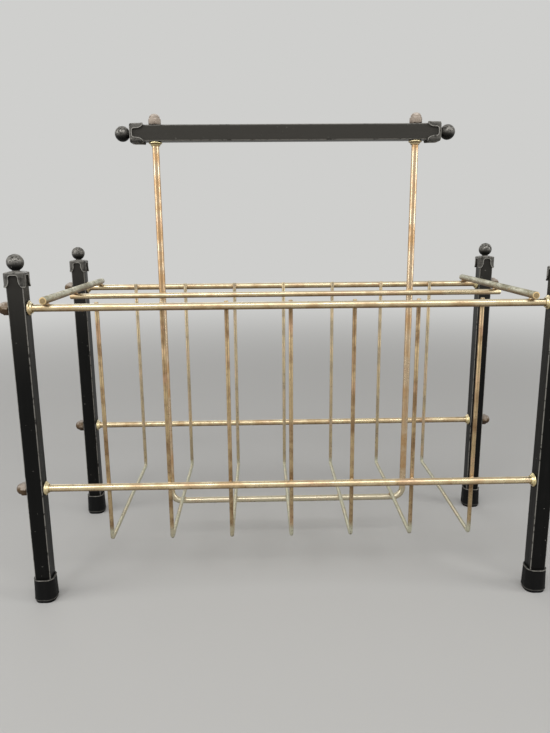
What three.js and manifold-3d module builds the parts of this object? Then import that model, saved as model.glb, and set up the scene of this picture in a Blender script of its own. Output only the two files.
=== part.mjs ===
// Magazine basket: four legs of black square tube, brass rails and bent brass wires, and a
// handle bar on a bent rod. Millimetres, +Z up. X runs along the basket and Y from front to
// back. The origin is on the floor, at the middle of the four feet.

import * as THREE from "three";
import { mergeVertices } from "three/addons/utils/BufferGeometryUtils.js";
import Module from "manifold-3d";

const wasm = await Module();
wasm.setup();

// Frame
const legSpacingX = 400; // between leg centres, along the basket
const legSpacingY = 162; // between leg centres, front to back
const basketFloorHeight = 51.5; // floor to the centre of the wires over the handle rod
const basketFrontDip = 2.2; // drop of the wires from the handle rod to their front bend
const lowRailRise = 44.1; // basket floor to low rail
const topRailRise = 141.9; // low rail to top rail
const legTopRise = 24.7; // top rail to the cut end of the leg tube
const handleBarRise = 132.2; // top rail to the centre of the handle bar
const crosswireInset = 13.2; // inner face of a leg to the centre of the crosswire
const endWireInset = 35.6; // crosswire to the first basket wire
const handleBarMargin = 17.9; // handle rod to the cut end of the bar's tube
const basketWireCount = 7;
const unweldedEndWires = 1; // basket wires at each end that the handle rod doesn't reach

// Square tube of the legs and the handle bar
const tubeSide = 12.7;
const tubeCornerRadius = 1.4;
const tubeInnerCornerRadius = 0.5;
const tubeWall = 1.2;

// Rods and wires
const railDiameter = 5.6;
const crosswireDiameter = 5.6;
const midRailDiameter = 4.7;
const handleRodDiameter = 5.6;
const basketWireDiameter = 3.2;
const basketWireBendRadius = 2.4;
const basketWireProud = 0.8; // wire ends above the top rail
const handleRodBendRadius = 9;
const crosswireOverhang = 7; // past the centre of the front and back rails
const midRailOverhang = 4.5; // past the centre of each crosswire
const rodEndChamfer = 0.6;

// Threaded studs at the ends of the rails and the handle rod
const studShoulder = 0.55; // step from the rod down to the stud
const studReach = 5.4; // length inside the nut

// Acorn nuts
const nutAcrossFlats = 9.5;
const nutHexHeight = 4.9;
const nutDomeHeight = 3.8;
const nutDomeStep = 0.35; // from the flats in to the foot of the dome
const nutCrown = 1.4; // brass left over the end of the blind bore
const nutChamfer = 0.7;
const nutTurnDegrees = [0, 24, 8, 41, 17, 33, 52, 5, 15, 38];

// Dished washers
const washerRimDiameter = 11;
const washerHeight = 3.1;
const washerCollarDiameter = 7.4;
const washerThickness = 0.8;

// Finials
const capWall = 0.95;
const capTopThickness = 1.5;
const capSkirt = 9.1; // how far the tabs reach down the tube
const capBand = 0.4; // solid band of the skirt above the scallops
const scallopTopWidth = 6.6;
const scallopTopRound = 2;
const scallopTipWidth = 11.4; // between the points of two tabs
const scallopFlareHeight = 6.3; // of the stretch in which the scallop widens to the points
const scallopFlareShare = 0.7; // of that height, down to the corner that the curve rounds
const capEdgeRound = 0.9;
const crownRise = 0.7; // the top of the cap swells towards the neck
const neckDiameter = 5.2;
const neckHeight = 0.6;
const ballDiameter = 12.3;

// Feet
const footWall = 1.65;
const footHeight = 20.2;
const footFloor = 4;
const footCornerRadius = 5.4;
const footBaseFlare = 0.5; // the foot widens this much on each side from its lip to its bead
const footBeadHeight = 2.8; // floor to the bead round the base
const footSoleInset = 0.6; // from the bead in to the edge of the sole
const footLipHeight = 0.9;
const footLipRound = 0.3;

// Fits
const seatGap = 0.3; // between pieces that rest on or are welded to each other
const slipFit = 0.3; // around a tube inside its cap or foot
const holeFit = 0.3; // around a stud or a rod in its hole
const cutOverrun = 2;

// Roundness: chords in a corner, and sides of the round pieces
const cornerSteps = 3;
const rodSides = 12;
const wireSides = 8;
const bendSteps = 4;
const slightTurn = 0.1; // radians; a corner that turns less isn't rounded
const washerSides = 14;
const ballRings = 7;
const domeSteps = 3;
const scallopSteps = 3;

// Radii
const railRadius = railDiameter / 2;
const crosswireRadius = crosswireDiameter / 2;
const midRailRadius = midRailDiameter / 2;
const handleRodRadius = handleRodDiameter / 2;
const basketWireRadius = basketWireDiameter / 2;
const ballRadius = ballDiameter / 2;

// Heights
const lowRailHeight = basketFloorHeight + lowRailRise;
const topRailHeight = lowRailHeight + topRailRise;
const legTopHeight = topRailHeight + legTopRise;
const handleBarHeight = topRailHeight + handleBarRise;
const crosswireHeight = topRailHeight + railRadius + seatGap + crosswireRadius;
const midRailHeight = crosswireHeight - crosswireRadius - seatGap - midRailRadius;
const handleRodFloorHeight = basketFloorHeight - basketWireRadius - seatGap - handleRodRadius;

// Places along the basket
const legX = legSpacingX / 2;
const legInnerX = legX - tubeSide / 2;
const legOuterX = legX + tubeSide / 2;
const crosswireX = legInnerX - crosswireInset;
const endWireX = crosswireX - endWireInset;
const basketWirePitch = (2 * endWireX) / (basketWireCount - 1);
const outerWeldedWireX = endWireX - unweldedEndWires * basketWirePitch;
const handleRodX = outerWeldedWireX + basketWireRadius + handleRodBendRadius;
const handleBarHalfLength = handleRodX + handleBarMargin;

// Places from front to back
const railY = legSpacingY / 2;
const basketWireY = railY - railRadius - seatGap - basketWireRadius;
const midRailY = -(handleRodRadius + seatGap + midRailRadius);

// Directions
const up = new THREE.Vector3(0, 0, 1);
const down = new THREE.Vector3(0, 0, -1);
const right = new THREE.Vector3(1, 0, 0);
const left = new THREE.Vector3(-1, 0, 0);

// Finishes
const blackEnamel = () =>
  new THREE.MeshStandardMaterial({ color: "#17181a", roughness: 0.42, metalness: 0.1 });
const blackRubber = () =>
  new THREE.MeshStandardMaterial({ color: "#1c1c1d", roughness: 0.7, metalness: 0 });
const railBrass = () =>
  new THREE.MeshStandardMaterial({ color: "#b99a5b", roughness: 0.38, metalness: 0.9 });
const wireBrass = () =>
  new THREE.MeshStandardMaterial({ color: "#a58a58", roughness: 0.45, metalness: 0.85 });
const greenedBrass = () =>
  new THREE.MeshStandardMaterial({ color: "#8b9080", roughness: 0.55, metalness: 0.7 });
const nutBrass = () =>
  new THREE.MeshStandardMaterial({ color: "#98754c", roughness: 0.42, metalness: 0.85 });

// A geometry with its shared vertices merged and the empty triangles at its poles dropped.
function closedGeometry(geometry) {
  const bare = new THREE.BufferGeometry();
  bare.setAttribute("position", geometry.getAttribute("position"));
  bare.setIndex(geometry.getIndex());
  const merged = mergeVertices(bare);
  const corners = Array.from(merged.getIndex().array);
  const kept = [];
  for (let first = 0; first < corners.length; first += 3) {
    const [a, b, c] = corners.slice(first, first + 3);
    if (a !== b && b !== c && c !== a) {
      kept.push(a, b, c);
    }
  }
  merged.setIndex(kept);
  return merged;
}

function solid(geometry) {
  const closed = closedGeometry(geometry);
  const vertProperties = new Float32Array(closed.getAttribute("position").array);
  const triVerts = new Uint32Array(closed.getIndex().array);
  return new wasm.Manifold(new wasm.Mesh({ numProp: 3, vertProperties, triVerts }));
}

function geometryOf(body) {
  const mesh = body.getMesh();
  const indexed = new THREE.BufferGeometry();
  indexed.setAttribute("position", new THREE.BufferAttribute(mesh.vertProperties, 3));
  indexed.setIndex(new THREE.BufferAttribute(mesh.triVerts, 1));
  const flat = indexed.toNonIndexed();
  flat.computeVertexNormals();
  return flat;
}

// A square with round corners, as points run anticlockwise.
function squareOutline(side, radius) {
  const cornerCentre = side / 2 - radius;
  const points = [];
  for (let corner = 0; corner < 4; corner += 1) {
    const signX = corner === 0 || corner === 3 ? 1 : -1;
    const signY = corner < 2 ? 1 : -1;
    for (let step = 0; step <= cornerSteps; step += 1) {
      const angle = (Math.PI / 2) * (corner + step / cornerSteps);
      const x = signX * cornerCentre + radius * Math.cos(angle);
      const y = signY * cornerCentre + radius * Math.sin(angle);
      points.push(new THREE.Vector2(x, y));
    }
  }
  return points;
}

// A circle with as many points as the square outline, centred on the same corners.
function roundOutline(radius) {
  const points = [];
  const count = 4 * (cornerSteps + 1);
  for (let index = 0; index < count; index += 1) {
    const angle = (2 * Math.PI * (index + 1 / 2)) / count;
    points.push(new THREE.Vector2(radius * Math.cos(angle), radius * Math.sin(angle)));
  }
  return points;
}

function circleOutline(radius, sides) {
  const points = [];
  for (let index = 0; index < sides; index += 1) {
    const angle = (2 * Math.PI * index) / sides;
    points.push(new THREE.Vector2(radius * Math.cos(angle), radius * Math.sin(angle)));
  }
  return points;
}

// Joins outlines of equal count at their heights into one closed body. The first and the last
// outline are its flat ends.
function loft(sections) {
  const count = sections[0].outline.length;
  const positions = [];
  for (const section of sections) {
    for (const point of section.outline) {
      positions.push(point.x, point.y, section.height);
    }
  }
  const corners = [];
  for (let level = 0; level + 1 < sections.length; level += 1) {
    for (let index = 0; index < count; index += 1) {
      const next = (index + 1) % count;
      const a = level * count + index;
      const b = level * count + next;
      const c = (level + 1) * count + next;
      const d = (level + 1) * count + index;
      corners.push(a, b, c, a, c, d);
    }
  }
  const lastRing = (sections.length - 1) * count;
  for (let index = 1; index + 1 < count; index += 1) {
    corners.push(0, index + 1, index);
    corners.push(lastRing, lastRing + index, lastRing + index + 1);
  }
  const geometry = new THREE.BufferGeometry();
  geometry.setAttribute("position", new THREE.Float32BufferAttribute(positions, 3));
  geometry.setIndex(corners);
  return geometry;
}

// A body turned about the Z axis, from a profile of radius and height.
function turned(profile, sides) {
  const points = profile.map(([radius, height]) => new THREE.Vector2(radius, height));
  return new THREE.LatheGeometry(points, sides).rotateX(Math.PI / 2);
}

function cylinder(radius, bottom, top, sides) {
  return turned(
    [
      [0, bottom],
      [radius, bottom],
      [radius, top],
      [0, top],
    ],
    sides,
  );
}

// A path of straight runs and round bends. Its stations are the ends of the runs and the
// points along the bends, so that a sweep has its rings where the rod needs them.
class BentPath extends THREE.Curve {
  constructor(stations) {
    super();
    this.stations = stations;
  }

  station(t) {
    return this.stations[Math.round(t * (this.stations.length - 1))];
  }

  getPoint(t) {
    return this.station(t).point.clone();
  }

  getTangent(t) {
    return this.station(t).tangent.clone();
  }

  getUtoTmapping(u) {
    return u;
  }
}

// The path through a row of corner points. Each inner corner is rounded to the bend radius, but
// one that turns only slightly is kept as it is.
function bentPath(corners, bendRadius) {
  const stations = [];
  const directions = [];
  for (let index = 0; index + 1 < corners.length; index += 1) {
    directions.push(corners[index + 1].clone().sub(corners[index]).normalize());
  }
  stations.push({ point: corners[0], tangent: directions[0] });
  for (let index = 1; index + 1 < corners.length; index += 1) {
    const before = directions[index - 1];
    const after = directions[index];
    const turn = before.angleTo(after);
    if (turn < slightTurn) {
      stations.push({ point: corners[index], tangent: before.clone().add(after).normalize() });
      continue;
    }
    const across = after.clone().addScaledVector(before, -Math.cos(turn)).normalize();
    const centre = corners[index]
      .clone()
      .addScaledVector(before, -bendRadius * Math.tan(turn / 2))
      .addScaledVector(across, bendRadius);
    for (let step = 0; step <= bendSteps; step += 1) {
      const angle = turn * (step / bendSteps);
      const point = centre
        .clone()
        .addScaledVector(across, -bendRadius * Math.cos(angle))
        .addScaledVector(before, bendRadius * Math.sin(angle));
      const tangent = before
        .clone()
        .multiplyScalar(Math.cos(angle))
        .addScaledVector(across, Math.sin(angle));
      stations.push({ point, tangent });
    }
  }
  stations.push({ point: corners[corners.length - 1], tangent: directions[directions.length - 1] });
  return new BentPath(stations);
}

function bentRod(corners, bendRadius, radius, sides) {
  const path = bentPath(corners, bendRadius);
  const section = new THREE.Shape(circleOutline(radius, sides));
  return new THREE.ExtrudeGeometry(section, {
    steps: path.stations.length - 1,
    extrudePath: path,
  });
}

// A square tube along Z with round holes through it from side to side, along X.
function drilledTube(bottom, top, holes) {
  const section = new THREE.Shape(squareOutline(tubeSide, tubeCornerRadius));
  const bore = squareOutline(tubeSide - 2 * tubeWall, tubeInnerCornerRadius);
  section.holes.push(new THREE.Path(bore));
  const tube = new THREE.ExtrudeGeometry(section, {
    depth: top - bottom,
    steps: 1,
    bevelEnabled: false,
  });
  let body = solid(tube.translate(0, 0, bottom));
  for (const hole of holes) {
    const reach = tubeSide / 2 + cutOverrun;
    const drill = cylinder(hole.radius, -reach, reach, rodSides);
    drill.rotateY(Math.PI / 2).translate(0, 0, hole.height);
    body = body.subtract(solid(drill));
  }
  return geometryOf(body);
}

function studRadius(rodRadius) {
  return rodRadius - studShoulder;
}

function studHoleRadius(rodRadius) {
  return studRadius(rodRadius) + holeFit;
}

// The legs stand in their feet, a gap above the rubber floor.
function legTube() {
  const radius = studHoleRadius(railRadius);
  return drilledTube(footFloor + seatGap, legTopHeight, [
    { height: lowRailHeight, radius },
    { height: topRailHeight, radius },
  ]);
}

// The handle bar's tube, drilled along X while it stands on end, then laid along X with its
// holes upright.
function handleBarTube() {
  const radius = studHoleRadius(handleRodRadius);
  const tube = drilledTube(-handleBarHalfLength, handleBarHalfLength, [
    { height: -handleRodX, radius },
    { height: handleRodX, radius },
  ]);
  return tube.rotateY(Math.PI / 2);
}

// The outline of one scallop between two tabs of the cap's skirt, across and along the tube.
function scallopOutline() {
  const tipHalf = scallopTipWidth / 2;
  const topHalf = scallopTopWidth / 2;
  const roofHalf = topHalf - scallopTopRound;
  const bottom = -capSkirt - cutOverrun;
  const flareTop = -capSkirt + scallopFlareHeight;
  const flareCorner = flareTop - scallopFlareHeight * scallopFlareShare;
  const top = -capBand;
  const roundStart = top - scallopTopRound;
  const shape = new THREE.Shape();
  shape.moveTo(-tipHalf, bottom);
  shape.lineTo(tipHalf, bottom);
  shape.lineTo(tipHalf, -capSkirt);
  shape.quadraticCurveTo(topHalf, flareCorner, topHalf, flareTop);
  shape.lineTo(topHalf, roundStart);
  shape.quadraticCurveTo(topHalf, top, roofHalf, top);
  shape.lineTo(-roofHalf, top);
  shape.quadraticCurveTo(-topHalf, top, -topHalf, roundStart);
  shape.lineTo(-topHalf, flareTop);
  shape.quadraticCurveTo(-topHalf, flareCorner, -tipHalf, -capSkirt);
  return shape;
}

function scallopCutter(capSide) {
  const depth = capSide + 2 * cutOverrun;
  const cutter = new THREE.ExtrudeGeometry(scallopOutline(), {
    depth,
    steps: 1,
    bevelEnabled: false,
    curveSegments: scallopSteps,
  });
  return cutter.translate(0, 0, -depth / 2).rotateX(Math.PI / 2);
}

// A finial along Z: a scalloped cap over the tube's end at height zero, a neck and a ball.
function finialGeometry() {
  const pocketSide = tubeSide + 2 * slipFit;
  const pocketRadius = tubeCornerRadius + slipFit;
  const capSide = pocketSide + 2 * capWall;
  const capRadius = pocketRadius + capWall;
  const crownSide = capSide - 2 * capEdgeRound;
  const topEdge = seatGap + capTopThickness;
  const crown = topEdge + crownRise;
  const neckRadius = neckDiameter / 2;
  const pocket = squareOutline(pocketSide, pocketRadius);
  const sections = [
    { outline: pocket, height: seatGap },
    { outline: pocket, height: -capSkirt },
    { outline: squareOutline(capSide, capRadius), height: -capSkirt },
    { outline: squareOutline(capSide, capRadius), height: topEdge - capEdgeRound },
    { outline: squareOutline(crownSide, capRadius - capEdgeRound), height: topEdge },
    { outline: roundOutline(neckRadius), height: crown },
  ];
  const ballDip = Math.asin(neckRadius / ballRadius);
  const ballCentre = crown + neckHeight + ballRadius * Math.cos(ballDip);
  for (let ring = 0; ring <= ballRings; ring += 1) {
    const polar = Math.PI - ballDip - ((Math.PI - ballDip) * ring) / (ballRings + 1 / 2);
    sections.push({
      outline: roundOutline(ballRadius * Math.sin(polar)),
      height: ballCentre + ballRadius * Math.cos(polar),
    });
  }
  const across = solid(scallopCutter(capSide));
  const along = solid(scallopCutter(capSide).rotateZ(Math.PI / 2));
  return geometryOf(solid(loft(sections)).subtract(across).subtract(along));
}

// A rubber foot: a soft square ferrule that widens to a bead round its base and tucks in under
// it, with a lip and a socket for the tube.
function footGeometry() {
  const socketSide = tubeSide + 2 * slipFit;
  const socketRadius = tubeCornerRadius + slipFit;
  const bodySide = socketSide + 2 * footWall;
  const beadSide = bodySide + 2 * footBaseFlare;
  const beadRadius = footCornerRadius + footBaseFlare;
  const soleSide = beadSide - 2 * footSoleInset;
  const soleRadius = beadRadius - footSoleInset;
  const lipSide = bodySide - 2 * footLipRound;
  const lipRadius = footCornerRadius - footLipRound;
  const lipStart = footHeight - footLipHeight;
  return loft([
    { outline: squareOutline(soleSide, soleRadius), height: 0 },
    { outline: squareOutline(beadSide, beadRadius), height: footBeadHeight },
    { outline: squareOutline(bodySide, footCornerRadius), height: lipStart },
    { outline: squareOutline(lipSide, lipRadius), height: footHeight },
    { outline: squareOutline(socketSide, socketRadius), height: footHeight },
    { outline: squareOutline(socketSide, socketRadius), height: footFloor },
  ]);
}

// A rail along X: the full rod between the legs, and a stud through the leg at each end.
function railGeometry() {
  const shoulder = legInnerX - seatGap;
  const end = legOuterX + seatGap + studReach;
  const stud = studRadius(railRadius);
  const rail = turned(
    [
      [0, -end],
      [stud, -end],
      [stud, -shoulder],
      [railRadius, -shoulder],
      [railRadius, shoulder],
      [stud, shoulder],
      [stud, end],
      [0, end],
    ],
    rodSides,
  );
  return closedGeometry(rail).rotateY(Math.PI / 2);
}

// A plain rod along Z with a small chamfer at each end.
function plainRod(radius, length, sides) {
  const end = length / 2;
  const rod = turned(
    [
      [0, -end],
      [radius - rodEndChamfer, -end],
      [radius, -end + rodEndChamfer],
      [radius, end - rodEndChamfer],
      [radius - rodEndChamfer, end],
      [0, end],
    ],
    sides,
  );
  return closedGeometry(rod);
}

// A basket wire: down inside the front rails, up a little to the handle rod, level to the back,
// and up again.
function basketWireGeometry() {
  const top = topRailHeight + railRadius + basketWireProud;
  const corners = [
    new THREE.Vector3(0, -basketWireY, top),
    new THREE.Vector3(0, -basketWireY, basketFloorHeight - basketFrontDip),
    new THREE.Vector3(0, 0, basketFloorHeight),
    new THREE.Vector3(0, basketWireY, basketFloorHeight),
    new THREE.Vector3(0, basketWireY, top),
  ];
  return bentRod(corners, basketWireBendRadius, basketWireRadius, wireSides);
}

// The handle rod: two arms joined under the basket wires, with a stud on top of each arm.
function handleRodGeometry() {
  const shoulder = handleBarHeight - tubeSide / 2 - seatGap;
  const studTop = handleBarHeight + tubeSide / 2 + seatGap + studReach;
  const corners = [
    new THREE.Vector3(-handleRodX, 0, shoulder),
    new THREE.Vector3(-handleRodX, 0, handleRodFloorHeight),
    new THREE.Vector3(handleRodX, 0, handleRodFloorHeight),
    new THREE.Vector3(handleRodX, 0, shoulder),
  ];
  let body = solid(bentRod(corners, handleRodBendRadius, handleRodRadius, rodSides));
  for (const side of [-1, 1]) {
    const stud = cylinder(studRadius(handleRodRadius), shoulder - cutOverrun, studTop, rodSides);
    body = body.add(solid(stud.translate(side * handleRodX, 0, 0)));
  }
  return geometryOf(body);
}

// A dished washer on Z: a thin cone that rises from its rim to a collar round the rod.
function washerGeometry(rodRadius) {
  const rim = washerRimDiameter / 2;
  const collar = washerCollarDiameter / 2;
  const hole = rodRadius + holeFit;
  const washer = turned(
    [
      [rim - washerThickness, 0],
      [rim, 0],
      [rim, washerThickness],
      [collar, washerHeight],
      [hole, washerHeight],
      [hole, washerHeight - washerThickness],
      [rim - washerThickness, 0],
    ],
    washerSides,
  );
  return closedGeometry(washer);
}

// An acorn nut on Z, its flat face at height zero: a chamfered hexagon, a dome and a blind bore.
function acornNutGeometry(rodRadius) {
  const corner = nutAcrossFlats / Math.sqrt(3);
  const height = nutHexHeight;
  const flatRadius = nutAcrossFlats / 2;
  const hexagon = new THREE.CylinderGeometry(corner, corner, height, 6);
  hexagon.rotateX(Math.PI / 2).translate(0, 0, height / 2);
  const bevel = turned(
    [
      [0, 0],
      [corner, 0],
      [corner, height - nutChamfer],
      [flatRadius, height],
      [0, height],
    ],
    2 * rodSides,
  );
  const domeRadius = flatRadius - nutDomeStep;
  const domeRoot = height - nutChamfer;
  const domeTop = height + nutDomeHeight;
  const domeProfile = [
    [0, domeRoot],
    [domeRadius, domeRoot],
  ];
  for (let step = 0; step <= domeSteps; step += 1) {
    const angle = (Math.PI / 2) * (step / (domeSteps + 1 / 2));
    domeProfile.push([domeRadius * Math.cos(angle), height + nutDomeHeight * Math.sin(angle)]);
  }
  domeProfile.push([0, domeTop]);
  const bore = cylinder(studHoleRadius(rodRadius), -cutOverrun, domeTop - nutCrown, rodSides);
  const body = solid(hexagon)
    .intersect(solid(bevel))
    .add(solid(turned(domeProfile, rodSides)))
    .subtract(solid(bore));
  return geometryOf(body);
}

const basket = new THREE.Group();
let nutsPlaced = 0;

// Adds a piece that was drawn along Z, pointed along a direction and turned about it.
function addPiece(name, geometry, material, position, direction = up, turnDegrees = 0) {
  const piece = new THREE.Mesh(geometry, material);
  piece.name = name;
  piece.position.set(...position);
  piece.quaternion.setFromUnitVectors(up, direction);
  piece.rotateZ(THREE.MathUtils.degToRad(turnDegrees));
  basket.add(piece);
}

function addNut(name, rodRadius, position, direction) {
  const turn = nutTurnDegrees[nutsPlaced % nutTurnDegrees.length];
  addPiece(name, acornNutGeometry(rodRadius), nutBrass(), position, direction, turn);
  nutsPlaced += 1;
}

function addLegs() {
  for (const [row, y] of [["front", -railY], ["back", railY]]) {
    for (const [side, x] of [["left", -legX], ["right", legX]]) {
      const place = `${row}_${side}`;
      addPiece(`leg_${place}`, legTube(), blackEnamel(), [x, y, 0]);
      addPiece(`finial_${place}`, finialGeometry(), blackEnamel(), [x, y, legTopHeight]);
      addPiece(`foot_${place}`, footGeometry(), blackRubber(), [x, y, 0]);
    }
  }
}

function addRails() {
  const washerX = legInnerX - seatGap;
  const nutX = legOuterX + seatGap;
  for (const [row, y] of [["front", -railY], ["back", railY]]) {
    for (const [level, height] of [["top", topRailHeight], ["low", lowRailHeight]]) {
      const place = `${row}_${level}`;
      addPiece(`rail_${place}`, railGeometry(), railBrass(), [0, y, height]);
      const washer = washerGeometry(railRadius);
      addPiece(`washer_${place}_left`, washer, railBrass(), [-washerX, y, height], right);
      addPiece(`washer_${place}_right`, washer, railBrass(), [washerX, y, height], left);
      addNut(`nut_${place}_left`, railRadius, [-nutX, y, height], left);
      addNut(`nut_${place}_right`, railRadius, [nutX, y, height], right);
    }
  }
}

function addCrosswires() {
  const length = legSpacingY + 2 * crosswireOverhang;
  for (const [side, x] of [["left", -crosswireX], ["right", crosswireX]]) {
    const rod = plainRod(crosswireRadius, length, rodSides).rotateX(Math.PI / 2);
    addPiece(`crosswire_${side}`, rod, greenedBrass(), [x, 0, crosswireHeight]);
  }
}

function addMidRail() {
  const length = 2 * (crosswireX + midRailOverhang);
  const rod = plainRod(midRailRadius, length, rodSides).rotateY(Math.PI / 2);
  addPiece("mid_rail", rod, railBrass(), [0, midRailY, midRailHeight]);
}

function addBasketWires() {
  for (let index = 0; index < basketWireCount; index += 1) {
    const x = -endWireX + index * basketWirePitch;
    addPiece(`basket_wire_${index + 1}`, basketWireGeometry(), wireBrass(), [x, 0, 0]);
  }
}

function addHandle() {
  const underside = handleBarHeight - tubeSide / 2 - seatGap;
  const topside = handleBarHeight + tubeSide / 2 + seatGap;
  addPiece("handle_rod", handleRodGeometry(), railBrass(), [0, 0, 0]);
  addPiece("handle_bar", handleBarTube(), blackEnamel(), [0, 0, handleBarHeight]);
  for (const [side, sign, outward] of [["left", -1, left], ["right", 1, right]]) {
    const rodX = sign * handleRodX;
    const endX = sign * handleBarHalfLength;
    const finialPlace = [endX, 0, handleBarHeight];
    addPiece(`handle_finial_${side}`, finialGeometry(), blackEnamel(), finialPlace, outward);
    const washer = washerGeometry(handleRodRadius);
    addPiece(`handle_washer_${side}`, washer, railBrass(), [rodX, 0, underside], down);
    addNut(`handle_nut_${side}`, handleRodRadius, [rodX, 0, topside], up);
  }
}

addLegs();
addRails();
addCrosswires();
addMidRail();
addBasketWires();
addHandle();

export default basket;
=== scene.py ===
"""Magazine basket: legs and handle bar of black enamelled tube, brass rails, bent brass wires.

The CAD frame gives every place. The operators dress it with detailed pieces, one operator for
each group of like pieces, and the stage operator adds the floor, the lights and the camera.
All lengths are in metres, with Z up and the front of the basket towards -Y.
"""

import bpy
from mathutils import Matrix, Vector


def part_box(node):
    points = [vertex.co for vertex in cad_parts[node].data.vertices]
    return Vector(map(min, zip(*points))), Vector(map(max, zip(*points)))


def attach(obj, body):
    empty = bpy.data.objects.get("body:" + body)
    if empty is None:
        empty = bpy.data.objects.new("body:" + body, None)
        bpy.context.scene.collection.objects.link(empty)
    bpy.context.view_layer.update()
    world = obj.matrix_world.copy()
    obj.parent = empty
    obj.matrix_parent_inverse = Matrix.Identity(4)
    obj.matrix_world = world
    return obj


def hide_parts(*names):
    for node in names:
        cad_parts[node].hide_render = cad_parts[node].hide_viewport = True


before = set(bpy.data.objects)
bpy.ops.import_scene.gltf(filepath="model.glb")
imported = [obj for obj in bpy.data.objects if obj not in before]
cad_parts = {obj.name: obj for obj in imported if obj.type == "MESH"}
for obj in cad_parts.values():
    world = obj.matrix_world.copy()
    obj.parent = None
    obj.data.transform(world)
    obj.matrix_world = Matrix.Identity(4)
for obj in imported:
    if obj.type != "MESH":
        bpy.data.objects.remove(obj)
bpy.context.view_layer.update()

import math

import bpy
from bpy.props import FloatProperty, FloatVectorProperty, IntProperty, PointerProperty
from bpy.types import NodeSocket, Operator, Panel, PropertyGroup
from mathutils import Matrix, Vector, noise

bl_info = {
    "name": "Magazine Basket",
    "version": (1, 0, 0),
    "blender": (4, 5, 0),
    "location": "3D View > Sidebar > Basket",
    "description": "Dresses the frame of a wire magazine basket and sets its stage",
    "category": "Add Mesh",
}

MM = 0.001
BODY = "root"
SHARP_ANGLE = math.radians(38)
SMOOTH_ANGLE = math.radians(180)
UP = Vector((0, 0, 1))
ALONG = Vector((1, 0, 0))
ACROSS = Vector((0, 1, 0))

ROWS = ("front", "back")
SIDES = ("left", "right")
LEVELS = ("top", "low")
LEG_PLACES = [f"{row}_{side}" for row in ROWS for side in SIDES]
RAIL_PLACES = [f"{row}_{level}" for row in ROWS for level in LEVELS]
WIRE_NAMES = [f"basket_wire_{number}" for number in range(1, 8)]
WELDED_WIRES = WIRE_NAMES[1:6]
NUT_TURNS = (0, 24, 8, 41, 17, 33, 52, 5, 15, 38)  # in degrees, about each nut's axis
WASHER_TURNS = (0,) * 10


# Frame

def span(node):
    """The size of a CAD node's box along each axis."""
    low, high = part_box(node)
    return high - low


def centre(node):
    low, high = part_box(node)
    return (low + high) / 2


def outward(side):
    """The direction from the middle of the basket to its left or right end."""
    return -ALONG if side == "left" else ALONG


def turned_to(direction, place, spin=0.0):
    """The matrix that points a piece drawn along Z in a direction and moves it to its place."""
    turn = UP.rotation_difference(direction).to_matrix().to_4x4()
    return Matrix.Translation(place) @ turn @ Matrix.Rotation(math.radians(spin), 4, "Z")


# Settings

def linear(code):
    """The scene-linear colour of a hexadecimal code."""
    channels = [int(code[start : start + 2], 16) / 255 for start in (0, 2, 4)]
    return tuple(
        value / 12.92 if value <= 0.04045 else ((value + 0.055) / 1.055) ** 2.4
        for value in channels
    )


def length(name, millimetres, description):
    return FloatProperty(
        name=name,
        description=description,
        default=millimetres * MM,
        min=0.0,
        precision=5,
        subtype="DISTANCE",
        unit="LENGTH",
    )


def colour(name, code, description):
    return FloatVectorProperty(
        name=name,
        description=description,
        default=linear(code),
        size=3,
        min=0.0,
        max=1.0,
        subtype="COLOR",
    )


def share(name, value, description):
    return FloatProperty(
        name=name,
        description=description,
        default=value,
        min=0.0,
        max=1.0,
        subtype="FACTOR",
    )


def count(name, value, description):
    return IntProperty(name=name, description=description, default=value, min=1, max=256)


def power(name, watts, description):
    return FloatProperty(name=name, description=description, default=watts, unit="POWER")


def angle(name, radians, description):
    return FloatProperty(
        name=name, description=description, default=radians, subtype="ANGLE", unit="ROTATION"
    )


class BasketTube(PropertyGroup):
    """Sizes of the square tube of the legs and the handle bar."""

    corner_radius: length("Corner Radius", 1.4, "Outer corner radius of the square tube")
    bore_radius: length("Bore Corner Radius", 0.5, "Corner radius inside the square tube")
    wall: length("Wall", 1.2, "Wall thickness of the square tube")
    hole_fit: length("Hole Fit", 0.3, "Room round a stud in its hole")


class BasketFinial(PropertyGroup):
    """Sizes of the scalloped caps with a ball."""

    pocket_fit: length("Pocket Fit", 0.3, "Room between the tube and the cap")
    wall: length("Wall", 0.95, "Wall thickness of the cap")
    corner_radius: length("Corner Radius", 2.65, "Corner radius outside the cap")
    skirt: length("Skirt", 9.1, "Reach of the tabs down the tube")
    band: length("Band", 0.4, "Solid band above the scallops")
    scallop_width: length("Scallop Width", 6.6, "Width of a scallop at its closed end")
    scallop_round: length("Scallop Round", 2.0, "Radius at the closed end of a scallop")
    tip_width: length("Tip Width", 11.4, "Width of a scallop between the tips of its tabs")
    flare_height: length("Flare Height", 6.3, "Height in which a scallop opens to the tips")
    flare_share: share("Flare Share", 0.7, "Share of the flare that is nearly upright")
    bead_width: length("Bead Width", 0.85, "Width of the raised edge along the scallops")
    bead_rise: length("Bead Rise", 0.38, "Rise of the raised edge along the scallops")
    top_thickness: length("Top Thickness", 1.5, "Thickness of the cap's top at its edge")
    edge_round: length("Edge Round", 0.9, "Rounding of the cap's top edge")
    crown_rise: length("Crown Rise", 0.7, "Swell of the cap's top towards the neck")
    neck_diameter: length("Neck Diameter", 5.2, "Diameter of the neck under the ball")
    neck_height: length("Neck Height", 0.6, "Height of the neck under the ball")
    ball_diameter: length("Ball Diameter", 12.3, "Diameter of the ball")
    casting: length("Casting", 0.07, "Unevenness of the cast ball and cap")


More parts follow.
